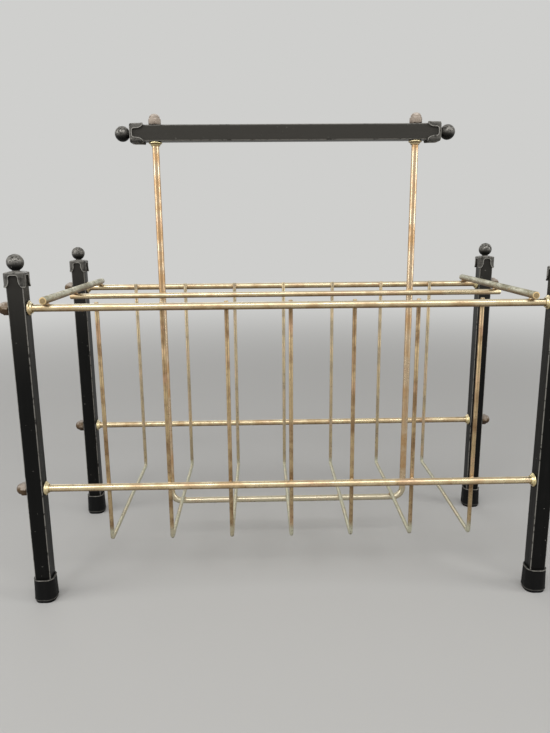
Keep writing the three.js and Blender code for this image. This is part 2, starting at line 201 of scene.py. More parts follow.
class BasketFoot(PropertyGroup):
    """Sizes of the rubber feet."""

    socket_fit: length("Socket Fit", 0.3, "Room between the tube and the rubber")
    socket_radius: length("Socket Corner Radius", 2.2, "Corner radius of the socket")
    wall: length("Wall", 1.5, "Wall thickness of the rubber at its lip")
    floor: length("Floor", 4.0, "Thickness of the rubber under the tube")
    corner_radius: length("Corner Radius", 6.1, "Corner radius outside the foot")
    base_flare: length("Base Flare", 0.5, "Spread of each side from the lip to the bead")
    bead_height: length("Bead Height", 2.8, "Height of the bead round the base")
    bead_width: length("Bead Width", 0.7, "Width of the bead round the base")
    bead_rise: length("Bead Rise", 0.15, "How far the bead round the base stands proud")
    sole_inset: length("Sole Inset", 0.6, "Undercut of the sole below the bead")
    sole_edge: length("Sole Edge", 0.4, "Rounding of the edge of the sole")
    lip_width: length("Lip Width", 0.8, "Width of the bead at the lip")
    lip_rise: length("Lip Rise", 0.14, "How far the bead at the lip stands proud")


class BasketRods(PropertyGroup):
    """Shapes of the rods and wires."""

    shoulder: length("Stud Shoulder", 0.55, "Step from a rod down to its stud")
    stud: length("Stud Length", 18.7, "Length of a stud past its shoulder")
    chamfer: length("End Chamfer", 0.6, "Chamfer of the cut ends")
    wire_end: length("Wire End Round", 0.9, "Rounding of the wires' upper ends")
    wire_bend: length("Wire Bend", 2.4, "Bend radius of the basket wires")
    wire_dip: length("Wire Dip", 2.2, "Drop of the wires from the handle rod to the front")
    handle_bend: length("Handle Bend", 9.0, "Bend radius of the handle rod")
    rod_sides: count("Rod Sides", 36, "Sides of a rail or rod")
    wire_sides: count("Wire Sides", 24, "Sides of a basket wire")
    bend_steps: count("Bend Steps", 12, "Steps round a bend")


class BasketHardware(PropertyGroup):
    """Sizes of the acorn nuts."""

    across_flats: length("Across Flats", 9.5, "Width of a nut across its flats")
    hexagon: length("Hexagon Height", 4.9, "Height of a nut's six flats")
    dome: length("Dome Height", 3.8, "Height of a nut's dome above the flats")
    dome_step: length("Dome Step", 0.35, "Step from the flats in to the dome")
    chamfer: length("Chamfer", 0.7, "Height of the chamfer round the hexagon")
    crown: length("Crown", 1.4, "Brass over the end of the blind bore")
    bore: length("Bore Radius", 2.55, "Radius of the bore round the stud")


class BasketWelds(PropertyGroup):
    """Sizes of the brazed joints."""

    unevenness: length("Unevenness", 0.3, "Unevenness of the weld metal")
    grain: FloatProperty(
        name="Grain", description="Lumps of weld metal in a metre", default=420.0, min=1.0
    )


class BasketColours(PropertyGroup):
    """Colours and gloss of the finishes."""

    enamel: colour("Enamel", "0B0B0A", "Black enamel of the legs, bar and caps")
    enamel_grey: colour("Faded Enamel", "141312", "Enamel where it is rubbed grey")
    # Paler enamel higher up: mostly painted light from above, with some dust and fading.
    enamel_dust_and_toplight: colour("Dusty Enamel", "3B3935", "Dust and fading on the upper enamel")
    enamel_bare: colour("Bare Edge", "9E9B94", "Metal and primer on worn edges and in chips")
    enamel_gloss: share("Enamel Roughness", 0.34, "Roughness of sound enamel")
    # Grey metal on the balls' tops: partly rubbed metal, partly a painted highlight of the light
    # above.
    rubbed_ball_and_sheen: colour("Rubbed Ball", "8F8C86", "Bare metal where hands have rubbed the balls")
    # The caps' tops are bared more than their sides: partly wear, partly painted light from above.
    rubbed_sides: share("Rubbed Sides", 0.24, "How far the enamel is rubbed off the caps' sides")
    rubbed_and_lit_tops: share("Rubbed Tops", 0.8, "How far the enamel is rubbed off the caps' tops")
    rubber: colour("Rubber", "090909", "Black rubber of the feet")
    # Pale beads of the feet: a painted highlight.
    rubber_bead_highlight: colour("Rubber Rim", "A19E96", "Dust and bloom on the beads of the feet")
    rail: colour("Rail Brass", "E8D6AE", "Clean brass of the rails")
    rail_dull: colour("Dulled Rail Brass", "C2A67E", "Dulled brass of the rails")
    rail_blush: colour("Rail Blush", "CFA98A", "Coppery blush on the brass")
    handle_rod: colour("Handle Rod Brass", "D9C2A2", "Clean brass of the handle rod")
    handle_rod_dull: colour("Dulled Handle Rod", "BF9C72", "Dulled brass of the handle rod")
    wire: colour("Wire Brass", "BEA780", "Clean brass of the basket wires")
    wire_dull: colour("Dulled Wire Brass", "8A7051", "Dulled brass of the basket wires")
    # Near the floor this pale is partly dust, partly a painted highlight on the runs' tops.
    wire_pale: colour("Pale Wire", "C8C7B1", "Pale bloom on the wires near the floor")
    # Below the nuts this dark brown is painted shade; the specks are real.
    grime: colour("Grime", "3C2A1B", "Dark brown specks, and dirt below the nuts")
    # Paler tops of the rods: partly dust, partly a painted highlight of the light above.
    pale_brass_and_sheen: colour("Pale Brass", "F2E8CD", "Pale bloom on the tops of the rods")
    dust_and_sheen: share("Dust", 0.5, "Strength of the pale bloom on the tops of the rods")
    # Warm dark brown on the rods' undersides: painted shade.
    warm_underside_shade: colour("Warm Tarnish", "674824", "Brown tarnish on the undersides of the rods")
    # How strong the painted shade is on the undersides.
    tarnish: share("Tarnish Below", 0.85, "Strength of the tarnish on the undersides")
    patina: colour("Patina", "D6D4BF", "Grey-green bloom on the crosswires")
    patina_dark: colour("Dark Patina", "9A967E", "Darker green in the bloom")
    cut_end: colour("Cut End", "DCC08C", "Coppery cut end of a rod")
    washer: colour("Washer Brass", "EFE2AC", "Yellow brass of the washers")
    nut: colour("Nut Brass", "D6CABE", "Pinkish brass of the acorn nuts")
    # Duller nuts near the floor: painted shade.
    nut_low_shade: colour("Low Nut Brass", "A0958A", "Duller film on the nuts near the floor")
    nut_dull: colour("Dulled Nut Brass", "59462F", "Brown tarnish of the acorn nuts and cut ends")
    weld: colour("Weld", "DFC9A6", "Brazing metal at the joints")
    weld_dark: colour("Burnt Weld", "B08A62", "Coppery edge of the brazing metal")
    brass_gloss: share("Brass Roughness", 0.3, "Roughness of clean brass")
    lacquer: share("Lacquer", 0.08, "Clear lacquer left on the brass")


class BasketStage(PropertyGroup):
    """Floor, light and camera."""

    floor: colour("Floor", "C9C8C5", "Colour of the plain floor")
    surround: colour("Surround", "CFCFCD", "Colour behind the floor")
    surround_light: share("Surround Light", 0.32, "Light from the surround on the basket")
    key: power("Key Light", 9.5, "Soft light from the upper left")
    overhead: power("Top Light", 11.0, "Soft light from above, in front")
    left: power("Left Light", 10.0, "Soft light from the left side")
    right: power("Right Light", 10.0, "Soft light from the right side")
    rim: power("Rim Light", 4.0, "Soft light from behind")
    camera_place: FloatVectorProperty(
        name="Camera Place",
        description="Where the camera stands",
        default=(-0.02209, -0.54728, 0.29430),
        precision=5,
        subtype="TRANSLATION",
        unit="LENGTH",
    )
    camera_yaw: angle("Camera Yaw", 0.021, "Turn of the camera to the right of straight on")
    camera_pitch: angle("Camera Pitch", -0.218, "Tilt of the camera above the horizon")
    camera_roll: angle("Camera Roll", -0.009, "Roll of the camera about its view")
    camera_lens: FloatProperty(
        name="Camera Lens",
        description="Focal length in millimetres on a 36 mm sensor",
        default=30.94,
        min=1.0,
        unit="CAMERA",
    )


class BasketSettings(PropertyGroup):
    """Everything that the operators read."""

    tube: PointerProperty(name="Tube", description="Square tube", type=BasketTube)
    finial: PointerProperty(name="Finials", description="Caps with a ball", type=BasketFinial)
    foot: PointerProperty(name="Feet", description="Rubber feet", type=BasketFoot)
    rods: PointerProperty(
        name="Rods and Wires", description="Rails, rods and basket wires", type=BasketRods
    )
    hardware: PointerProperty(name="Nuts", description="Acorn nuts", type=BasketHardware)
    welds: PointerProperty(name="Welds", description="Brazed joints", type=BasketWelds)
    colours: PointerProperty(name="Finishes", description="Finishes", type=BasketColours)
    stage: PointerProperty(name="Stage", description="Floor, light, camera", type=BasketStage)


def settings():
    return bpy.context.scene.magazine_basket


# Meshes

def skin(name, rings, looped=False):
    """One mesh over rings of points of equal count, run anticlockwise. A ring of one point is
    a pole. The first and the last ring are flat ends, unless the rings are looped."""
    points = []
    numbers = []
    for ring in rings:
        numbers.append(range(len(points), len(points) + len(ring)))
        points.extend(ring)
    faces = []
    for low, high in zip(numbers, [*numbers[1:], numbers[0]] if looped else numbers[1:]):
        around = max(len(low), len(high))
        for index in range(around):
            turns = ((low, index), (low, index + 1), (high, index + 1), (high, index))
            corners = [ring[turn % len(ring)] for ring, turn in turns]
            faces.append(tuple(dict.fromkeys(corners)))  # three corners at a pole
    for end in () if looped else (numbers[0][::-1], numbers[-1]):
        if len(end) > 1:
            faces.append(tuple(end))
    mesh = bpy.data.meshes.new(name)
    mesh.from_pydata(points, [], faces)
    smooth(mesh)
    return mesh


def smooth(mesh, angle=SHARP_ANGLE):
    mesh.shade_smooth()
    mesh.set_sharp_from_angle(angle=angle)


def mark(mesh, name, values):
    """Stores one number for each point of the mesh, for its material."""
    attribute = mesh.attributes.new(name, "FLOAT", "POINT")
    attribute.data.foreach_set("value", values)


def circle(radius, height, sides):
    turns = [2 * math.pi * index / sides for index in range(sides)]
    return [(radius * math.cos(turn), radius * math.sin(turn), height) for turn in turns]


def turned(name, profile, sides):
    """A body turned about the Z axis, from its profile of radius and height."""
    rings = []
    for radius, height in profile:
        rings.append([(0, 0, height)] if radius == 0 else circle(radius, height, sides))
    return skin(name, rings)


def add_piece(name, mesh, nodes, material=None):
    """Puts a finished mesh in the scene in place of the CAD nodes that it stands for."""
    old = bpy.data.objects.get(name)
    if old is not None:
        bpy.data.objects.remove(old)
    piece = bpy.data.objects.new(name, mesh)
    bpy.context.scene.collection.objects.link(piece)
    if material is not None:
        mesh.materials.clear()
        mesh.materials.append(material)
    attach(piece, BODY)
    if nodes:
        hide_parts(*nodes)


def evaluated_mesh(name, source):
    """The plain mesh that an object's modifiers make. The object is removed."""
    depsgraph = bpy.context.evaluated_depsgraph_get()
    mesh = bpy.data.meshes.new_from_object(source.evaluated_get(depsgraph))
    mesh.name = name
    bpy.data.objects.remove(source)
    return mesh


def scratch_object(name, mesh):
    thing = bpy.data.objects.new(name, mesh)
    bpy.context.scene.collection.objects.link(thing)
    return thing


# Square tube

FLAT_SHARES = (-1, -0.93, -0.5, 0, 0.5, 0.93, 1)
DRILLED_FLAT_SHARES = (-1, -0.93, 0.93, 1)  # no line that a hole would cut
DRILL_SIDES = 32


def square_outline(side, radius, bends=10, flats=FLAT_SHARES):
    """A square with round corners, as points run anticlockwise, and how far round its corner
    each point is, from 0 on the flats to 1 in the middle of a corner."""
    straight = side / 2 - radius
    quarter = [(side / 2, straight * part, 0.0) for part in flats]
    for step in range(1, bends):
        turn = math.pi / 2 * step / bends
        x = straight + radius * math.cos(turn)
        y = straight + radius * math.sin(turn)
        quarter.append((x, y, 1 - abs(2 * step / bends - 1)))
    outline = []
    for corner in range(4):
        for x, y, bend in quarter:
            for _ in range(corner):
                x, y = -y, x
            outline.append((x, y, bend))
    return outline


def at_height(outline, height):
    return [(x, y, height) for x, y, _ in outline]


def square_tube(name, side, bottom, top, holes, sizes):
    """A square tube along Z with holes through it along X. Its corners are marked for wear."""
    outer = square_outline(side, sizes.corner_radius, flats=DRILLED_FLAT_SHARES)
    bore = square_outline(side - 2 * sizes.wall, sizes.bore_radius, flats=DRILLED_FLAT_SHARES)
    rings = [
        at_height(outer, bottom),
        at_height(outer, top),
        at_height(bore, top),
        at_height(bore, bottom),
    ]
    mesh = skin(name, rings, looped=True)
    corners = [bend for _, _, bend in outer]
    mark(mesh, "wear", corners * 2 + [0.0] * (2 * len(bore)))
    tube = scratch_object(name, mesh)
    drills = []
    for height, radius in holes:
        profile = [(0, -side), (radius, -side), (radius, side), (0, side)]
        drill = turned("drill", profile, DRILL_SIDES)
        drill.transform(turned_to(ALONG, Vector((0, 0, height))))
        drills.append(scratch_object("drill", drill))
        cut = tube.modifiers.new("drill", "BOOLEAN")
        cut.operation = "DIFFERENCE"
        cut.solver = "EXACT"
        cut.object = drills[-1]
    result = evaluated_mesh(name, tube)
    for drill in drills:
        bpy.data.objects.remove(drill)
    smooth(result)
    return result


# Finials

# Steps from the middle of a face to the corner, for the roof of the scallop, its round end,
# its upright side, its flare and the tip of the tab, with the share of the half face that
# each stretch ends at on the cap's top edge.
SCALLOP_STEPS = ((4, 0.22), (7, 0.58), (4, 0.70), (8, 0.92), (3, 1.0))


def curve_point(start, control, end, part):
    """A point of a quadratic curve, and the curve's direction there."""
    rest = 1 - part
    point = start * rest * rest + control * 2 * rest * part + end * part * part
    heading = (control - start) * rest + (end - control) * part
    return point, heading.normalized()


def scallop_edge(sizes, half_face):
    """The lower edge of the cap from the middle of a face to the middle of a corner, as rows
    of the point, the direction into the metal and the place on the top edge. Points are across
    the face, measured round the corner, and up."""
    width = sizes.scallop_width / 2
    roof = width - sizes.scallop_round
    top = -sizes.band
    tip = Vector((sizes.tip_width / 2, -sizes.skirt))
    flare_top = Vector((width, -sizes.skirt + sizes.flare_height))
    flare_turn = flare_top - Vector((0, sizes.flare_height * sizes.flare_share))
    round_end = Vector((width, top - sizes.scallop_round))
    stretches = (
        (Vector((0, top)), Vector((roof / 2, top)), Vector((roof, top))),
        (Vector((roof, top)), Vector((width, top)), round_end),
        (round_end, (round_end + flare_top) / 2, flare_top),
        (flare_top, flare_turn, tip),
        (tip, Vector(((tip.x + half_face) / 2, tip.y)), Vector((half_face, tip.y))),
    )
    rows = []
    share_before = 0.0
    for (steps, share_after), (start, control, end) in zip(SCALLOP_STEPS, stretches):
        for step in range(steps):
            part = step / steps
            point, heading = curve_point(start, control, end, part)
            into_metal = Vector((-heading.y, heading.x))
            top_share = share_before + (share_after - share_before) * part
            rows.append((point, into_metal, top_share * half_face))
        share_before = share_after
    rows.append((Vector((half_face, -sizes.skirt)), Vector((0, 1)), half_face))
    return rows


def wrapped(side, radius, face, across, height, measured_radius):
    """A point of a square with round corners, from its distance across a face, which is
    measured round the corners on another radius with the same centres."""
    straight = side / 2 - radius
    reach = abs(across)
    x, y = side / 2, reach
    if reach > straight:
        turn = (reach - straight) / measured_radius
        x = straight + radius * math.cos(turn)
        y = straight + radius * math.sin(turn)
    y = math.copysign(y, across)
    for _ in range(face):
        x, y = -y, x
    return Vector((x, y, height))


# Rings of the raised edge: shares of its width, of its rise, and its wear.
BEAD_RINGS = ((0.0, 0.0, 0.35), (0.12, 0.6, 0.8), (0.35, 1.0, 1.0), (0.62, 0.85, 0.7),
              (0.85, 0.3, 0.1), (1.0, 0.0, 0.0))
FIELD_RINGS = (0.12, 0.3, 0.55, 0.8, 1.0)
CAP_EDGE_STEPS = 5
CROWN_STEPS = 4
CROWN_FILLET = 0.5 * MM  # room round the foot of the neck
BALL_RINGS = 22


def finial_mesh(tube_side, seat_gap, sizes):
    """A finial along Z: a scalloped cap over the tube's end at height zero, a neck and a ball."""
    cap_side = tube_side + 2 * sizes.pocket_fit + 2 * sizes.wall
    radius = sizes.corner_radius
    half_face = cap_side / 2 - radius + radius * math.pi / 4
    rows = scallop_edge(sizes, half_face)
    last = len(rows) - 1
    stations = []
    for face in range(4):
        for index in range(-last, last):
            stations.append((face, 1 if index >= 0 else -1, rows[abs(index)]))
    rings = []
    wear = []

    def add_ring(points, worn=0.0):
        rings.append(points)
        wear.extend([worn] * len(points))

    def add_cap_ring(outset, place, worn=0.0):
        """Adds a ring round the cap. The place of a row is across its face and up."""
        side = cap_side + 2 * outset
        points = []
        for face, sign, row in stations:
            across, height = place(row)
            points.append(wrapped(side, radius + outset, face, sign * across, height, radius))
        add_ring(points, worn)

    top_edge = seat_gap + sizes.top_thickness
    field_top = top_edge - sizes.edge_round
    add_cap_ring(-sizes.wall, lambda row: (row[2], seat_gap))
    add_cap_ring(-sizes.wall, lambda row: row[0])
    add_cap_ring(-sizes.wall * 0.5, lambda row: row[0] - row[1] * sizes.wall * 0.12, 0.3)
    for part, rise, worn in BEAD_RINGS:
        offset = part * sizes.bead_width
        add_cap_ring(rise * sizes.bead_rise, lambda row: row[0] + row[1] * offset, worn)
    width = sizes.bead_width
    for part in FIELD_RINGS:
        add_cap_ring(
            0.0, lambda row: (row[0] + row[1] * width).lerp(Vector((row[2], field_top)), part)
        )
    middle = CAP_EDGE_STEPS / 2
    for step in range(1, CAP_EDGE_STEPS + 1):
        turn = math.pi / 2 * step / CAP_EDGE_STEPS
        inset = sizes.edge_round * (1 - math.cos(turn))
        height = field_top + sizes.edge_round * math.sin(turn)
        add_cap_ring(-inset, lambda row: (row[2], height), 1 - abs(step - middle) / middle)
    edge_ring = rings[-1]
    turns = [math.atan2(point.y, point.x) for point in edge_ring]

    def round_ring(ring_radius, height):
        return [
            Vector((ring_radius * math.cos(turn), ring_radius * math.sin(turn), height))
            for turn in turns
        ]

    neck_radius = sizes.neck_diameter / 2
    crown = top_edge + sizes.crown_rise
    crown_ring = round_ring(neck_radius + CROWN_FILLET, crown)
    for step in range(1, CROWN_STEPS + 1):
        part = step / CROWN_STEPS
        level = top_edge + sizes.crown_rise * math.sin(part * math.pi / 2)
        pairs = zip(edge_ring, crown_ring)
        add_ring([Vector((*outer.lerp(inner, part).xy, level)) for outer, inner in pairs])
    ball_radius = sizes.ball_diameter / 2
    dip = math.asin(neck_radius / ball_radius)
    ball_centre = crown + sizes.neck_height + ball_radius * math.cos(dip)
    add_ring(round_ring(neck_radius, crown + sizes.neck_height * 0.4))
    below_ball = len(wear)
    for index in range(BALL_RINGS):
        polar = math.pi - dip - (math.pi - dip) * index / BALL_RINGS
        level = ball_centre + ball_radius * math.cos(polar)
        add_ring(round_ring(ball_radius * math.sin(polar), level))
    add_ring([Vector((0, 0, ball_centre + ball_radius))])
    mesh = skin("finial", rings)
    mark(mesh, "wear", wear)
    mark(mesh, "ball", [0.0] * below_ball + [1.0] * (len(wear) - below_ball))
    return mesh


def roughen(mesh, amount, lumps):
    """Moves the points of a mesh along their normals by a fixed noise at their places."""
    moves = []
    for vertex in mesh.vertices:
        moves.append(vertex.normal * (amount * noise.noise(vertex.co * lumps)))
    for vertex, move in zip(mesh.vertices, moves):
        vertex.co = vertex.co + move


# Feet

# Places across a bead, from its lower edge to its upper one, and its rise there.
BEAD_SECTION = ((-1.0, 0.0), (-0.7, 0.6), (-0.3, 0.95), (0.3, 0.95), (0.7, 0.6), (1.0, 0.0))
SIDE_SHARES = (0.1, 0.35, 0.65, 0.9)  # of the way from the base's bead up to the lip's
# How bright the painted highlight lies on the bead round the base, on the bead at the lip and on
# the lip.
BASE_HIGHLIGHT = 0.4
BEAD_HIGHLIGHT = 1.0
LIP_HIGHLIGHT = 0.6


def bead_rows(outset, level, width, rise, pale):
    """Rows of outset, height and mark over a bead in the side of a foot."""
    return [
        (outset + rise * height, level + across * width / 2, height * pale)
        for across, height in BEAD_SECTION
    ]


def foot_mesh(tube_side, height, sizes):
    """A rubber foot on Z: a soft square ferrule with a bead round its base and its lip."""
    socket_side = tube_side + 2 * sizes.socket_fit
    body = socket_side + 2 * sizes.wall
    flare = sizes.base_flare
    sole = flare - sizes.sole_inset
    edge = sizes.sole_edge
    base = sizes.bead_height
    lip = height - sizes.lip_width / 2
    body_low = base + sizes.bead_width / 2
    body_high = lip - sizes.lip_width / 2
    profile = [(sole - edge, 0.0, 0.0), (sole - 0.3 * edge, 0.3 * edge, 0.0), (sole, edge, 0.0)]
    profile.append((sole + 0.6 * sizes.sole_inset, base - sizes.bead_width, 0.0))
    profile += bead_rows(flare, base, sizes.bead_width, sizes.bead_rise, BASE_HIGHLIGHT)
    for part in SIDE_SHARES:
        level = body_low + (body_high - body_low) * part
        profile.append((flare * (1 - part), level, 0.0))
    profile += bead_rows(0.0, lip, sizes.lip_width, sizes.lip_rise, BEAD_HIGHLIGHT)
    profile.append((-0.35 * sizes.wall, height, LIP_HIGHLIGHT))
    rings = []
    marks = []
    for outset, level, pale in profile:
        outline = square_outline(body + 2 * outset, sizes.corner_radius + outset)
        rings.append(at_height(outline, level))
        marks.extend([pale] * len(outline))
    socket = square_outline(socket_side, sizes.socket_radius)
    for level in (height - sizes.lip_width / 2, sizes.floor):
        rings.append(at_height(socket, level))
        marks.extend([0.0] * len(socket))
    mesh = skin("foot", rings)
    mark(mesh, "rim", marks)
    return mesh


# Rods

STUD_CHAMFER = 0.3 * MM
SHOULDER_CHAMFER = 0.2 * MM


def rail_mesh(name, node, sizes):
    """A rail along X with a stud at each end."""
    low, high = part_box(node)
    radius = (high.z - low.z) / 2
    stud = radius - sizes.shoulder
    end = high.x
    shoulder = end - sizes.stud
    half = [(0, end), (stud - STUD_CHAMFER, end), (stud, end - STUD_CHAMFER), (stud, shoulder),
            (radius - SHOULDER_CHAMFER, shoulder), (radius, shoulder - SHOULDER_CHAMFER)]
    profile = [(r, -x) for r, x in half] + [(radius, 0)] + list(reversed(half))
    mesh = turned(name, profile, sizes.rod_sides)
    mesh.transform(turned_to(ALONG, Vector((0, *centre(node).yz))))
    return mesh


def cut_rod(name, node, axis, sizes):
    """A plain rod along an axis, with a chamfer and a marked face at each cut end."""
    low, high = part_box(node)
    radius = (high.z - low.z) / 2
    end = (high - low).dot(axis) / 2
    bevel = sizes.chamfer
    # Radius, place and mark, from the middle of the cut end out to the rod's side.
    half = [(0, end, 1), (radius - 1.6 * bevel, end, 1), (radius - bevel, end - 0.08 * MM, 0.65),
            (radius - 0.35 * bevel, end - 0.35 * bevel, 0.6), (radius, end - bevel, 0.0)]
    rows = [(r, -z, cut) for r, z, cut in half] + [(radius, 0, 0)] + list(reversed(half))
    mesh = turned(name, [(r, z) for r, z, _ in rows], sizes.rod_sides)
    values = []
    for r, _, cut in rows:
        values.extend([float(cut)] * (1 if r == 0 else sizes.rod_sides))
    mark(mesh, "cut", values)
    mesh.transform(turned_to(axis, centre(node)))
    return mesh


# Nodes

class Nodes:
    """A node tree under construction."""

    def __init__(self, tree):
        self.tree = tree

    def feed(self, socket, value):
        """Links another node's output to a socket, or sets the socket's own value."""
        if isinstance(value, NodeSocket):
            self.tree.links.new(value, socket)
        elif socket.type == "RGBA":
            socket.default_value = (*value, 1.0)
        else:
            socket.default_value = value

    def add(self, kind, inputs=(), **options):
        """Adds a node, sets its options and feeds its inputs by name or number."""
        node = self.tree.nodes.new(kind)
        for key, value in options.items():
            setattr(node, key, value)
        for key, value in dict(inputs).items():
            self.feed(node.inputs[key], value)
        return node

    def math(self, operation, first, second=0.0, clamped=False):
        inputs = {0: first, 1: second}
        return self.add("ShaderNodeMath", inputs, operation=operation, use_clamp=clamped).outputs[0]

    def times(self, first, second, clamped=False):
        return self.math("MULTIPLY", first, second, clamped)


# Geometry Nodes

class Tree(Nodes):
    """A Geometry Nodes tree with named inputs, ending in Realize Instances and Set Material."""

    def __init__(self, name, inputs):
        old = bpy.data.node_groups.get(name)
        if old is not None:
            bpy.data.node_groups.remove(old)
        super().__init__(bpy.data.node_groups.new(name, "GeometryNodeTree"))
        self.add_socket("Geometry", "Geometry", "OUTPUT")
        for label, kind in {"Geometry": "Geometry", **inputs, "Material": "Material"}.items():
            self.add_socket(label, kind, "INPUT")
        self.start = self.add("NodeGroupInput")

    def add_socket(self, label, kind, direction):
        self.tree.interface.new_socket(label, in_out=direction, socket_type=f"NodeSocket{kind}")

    def input(self, label):
        return self.start.outputs[label]

    def attribute(self, name, kind):
        node = self.add("GeometryNodeInputNamedAttribute", {"Name": name}, data_type=kind)
        return node.outputs["Attribute"]

    def finish(self, geometry):
        """Ends the tree with this geometry and returns the node group."""
        real = self.add("GeometryNodeRealizeInstances", {"Geometry": geometry})
        inputs = {"Geometry": real.outputs["Geometry"], "Material": self.input("Material")}
        dressed = self.add("GeometryNodeSetMaterial", inputs)
        self.add("NodeGroupOutput", {"Geometry": dressed.outputs["Geometry"]})
        return self.tree


def grown(name, group, mesh, values):
    """The plain mesh that a Geometry Nodes tree grows from a starting mesh."""
    source = scratch_object(name, mesh)
    modifier = source.modifiers.new(group.name, "NODES")
    modifier.node_group = group
    for item in group.interface.items_tree:
        if item.in_out == "INPUT" and item.name in values:
            modifier[item.identifier] = values[item.name]
    return evaluated_mesh(name, source)


# Turns in degrees at which the rounded end of a wire has a ring.
END_TURNS = (25, 50, 70, 85)


def bent_rod_tree():
    """Sweeps a circle along a polyline, rounding the corners whose bend attribute is 1. Its ends
    are rounded, or carry studs."""
    tree = Tree(
        "Bent Rod",
        {
            "Radius": "Float",
            "Bend Radius": "Float",
            "Bend Steps": "Int",
            "Sides": "Int",
            "End Round": "Float",
            "Studs": "Bool",
            "Stud Radius": "Float",
            "Stud Length": "Float",
        },
    )
    path = tree.add("GeometryNodeMeshToCurve", {"Mesh": tree.input("Geometry")})
    bend_radius = tree.times(tree.input("Bend Radius"), tree.attribute("bend", "FLOAT"))
    bends = tree.add(
        "GeometryNodeFilletCurve",
        {
            "Curve": path.outputs["Curve"],
            "Count": tree.input("Bend Steps"),
            "Radius": bend_radius,
            "Limit Radius": False,
        },
        mode="POLY",
    )
    section = tree.add(
        "GeometryNodeCurvePrimitiveCircle",
        {"Resolution": tree.input("Sides"), "Radius": tree.input("Radius")},
    )
    sweep = tree.add(
        "GeometryNodeCurveToMesh",
        {
            "Curve": bends.outputs["Curve"],
            "Profile Curve": section.outputs["Curve"],
            "Fill Caps": True,
        },
    )
    around = tree.add("GeometryNodeInputMeshFaceNeighbors")
    compare = tree.add(
        "FunctionNodeCompare",
        {2: around.outputs["Vertex Count"], 3: 4},
        data_type="INT",
        operation="GREATER_THAN",
    )
    is_end = compare.outputs["Result"]

    def step_out(mesh, selection, reach, scale):
        """Extrudes the end faces and scales them. Returns the mesh and the new end faces."""
        extruded = tree.add(
            "GeometryNodeExtrudeMesh",
            {
                "Mesh": mesh,
                "Selection": selection,
                "Offset Scale": reach,
                "Individual": False,
            },
            mode="FACES",
        )
        scaled = tree.add(
            "GeometryNodeScaleElements",
            {
                "Geometry": extruded.outputs["Mesh"],
                "Selection": extruded.outputs["Top"],
                "Scale": scale,
            },
            domain="FACE",
        )
        return scaled.outputs["Geometry"], extruded.outputs["Top"]

    radius = tree.input("Radius")
    end_round = tree.input("End Round")
    rounded = sweep.outputs["Mesh"]
    face = is_end
    width_before = radius
    reach_before = 0.0
    for degrees in END_TURNS:
        turn = math.radians(degrees)
        inset = tree.times(end_round, 1 - math.cos(turn))
        width = tree.math("SUBTRACT", radius, inset)
        reach = tree.times(end_round, math.sin(turn) - reach_before)
        scale = tree.math("DIVIDE", width, width_before)
        rounded, face = step_out(rounded, face, reach, scale)
        width_before = width
        reach_before = math.sin(turn)
    stud_scale = tree.math("DIVIDE", tree.input("Stud Radius"), radius)
    studded, face = step_out(sweep.outputs["Mesh"], is_end, 0.0, stud_scale)
    studded, face = step_out(studded, face, tree.input("Stud Length"), 1.0)
    ends = tree.add(
        "GeometryNodeSwitch",
        {"Switch": tree.input("Studs"), "False": rounded, "True": studded},
        input_type="GEOMETRY",
    )
    return tree.finish(ends.outputs["Output"])


def bent_rod(name, corners, values, material, unrounded=()):
    """A rod through a row of corners, each rounded but for the unrounded ones."""
    path = bpy.data.meshes.new(name)
    path.from_pydata(corners, [(index, index + 1) for index in range(len(corners) - 1)], [])
    mark(path, "bend", [0.0 if index in unrounded else 1.0 for index in range(len(corners))])
    mesh = grown(name, bent_rod_tree(), path, {**values, "Material": material})
    smooth(mesh)
    return mesh


def fastener_tree():
    """Places one fastener on each point, turned as the point's attribute says."""
    tree = Tree("Fasteners", {"Fastener": "Object"})
    fastener = tree.add("GeometryNodeObjectInfo", {"Object": tree.input("Fastener")})
    turn = tree.attribute("turn", "FLOAT_VECTOR")
    rotation = tree.add("FunctionNodeEulerToRotation", {"Euler": turn})
    placed = tree.add(
        "GeometryNodeInstanceOnPoints",
        {
            "Points": tree.input("Geometry"),
            "Instance": fastener.outputs["Geometry"],
            "Rotation": rotation.outputs["Rotation"],
        },
    )
    return tree.finish(placed.outputs["Instances"])


def fasteners(name, fastener_mesh, matrices, material):
    """One mesh of like fasteners, each turned and moved by its matrix."""
    points = bpy.data.meshes.new(name)
    points.from_pydata([matrix.translation for matrix in matrices], [], [])
    turns = points.attributes.new("turn", "FLOAT_VECTOR", "POINT")
    for item, matrix in zip(turns.data, matrices):
        item.vector = matrix.to_euler()
    fastener = scratch_object(f"{name}_one", fastener_mesh)
    values = {"Fastener": fastener, "Material": material}
    mesh = grown(name, fastener_tree(), points, values)
    bpy.data.objects.remove(fastener)
    smooth(mesh)
    return mesh


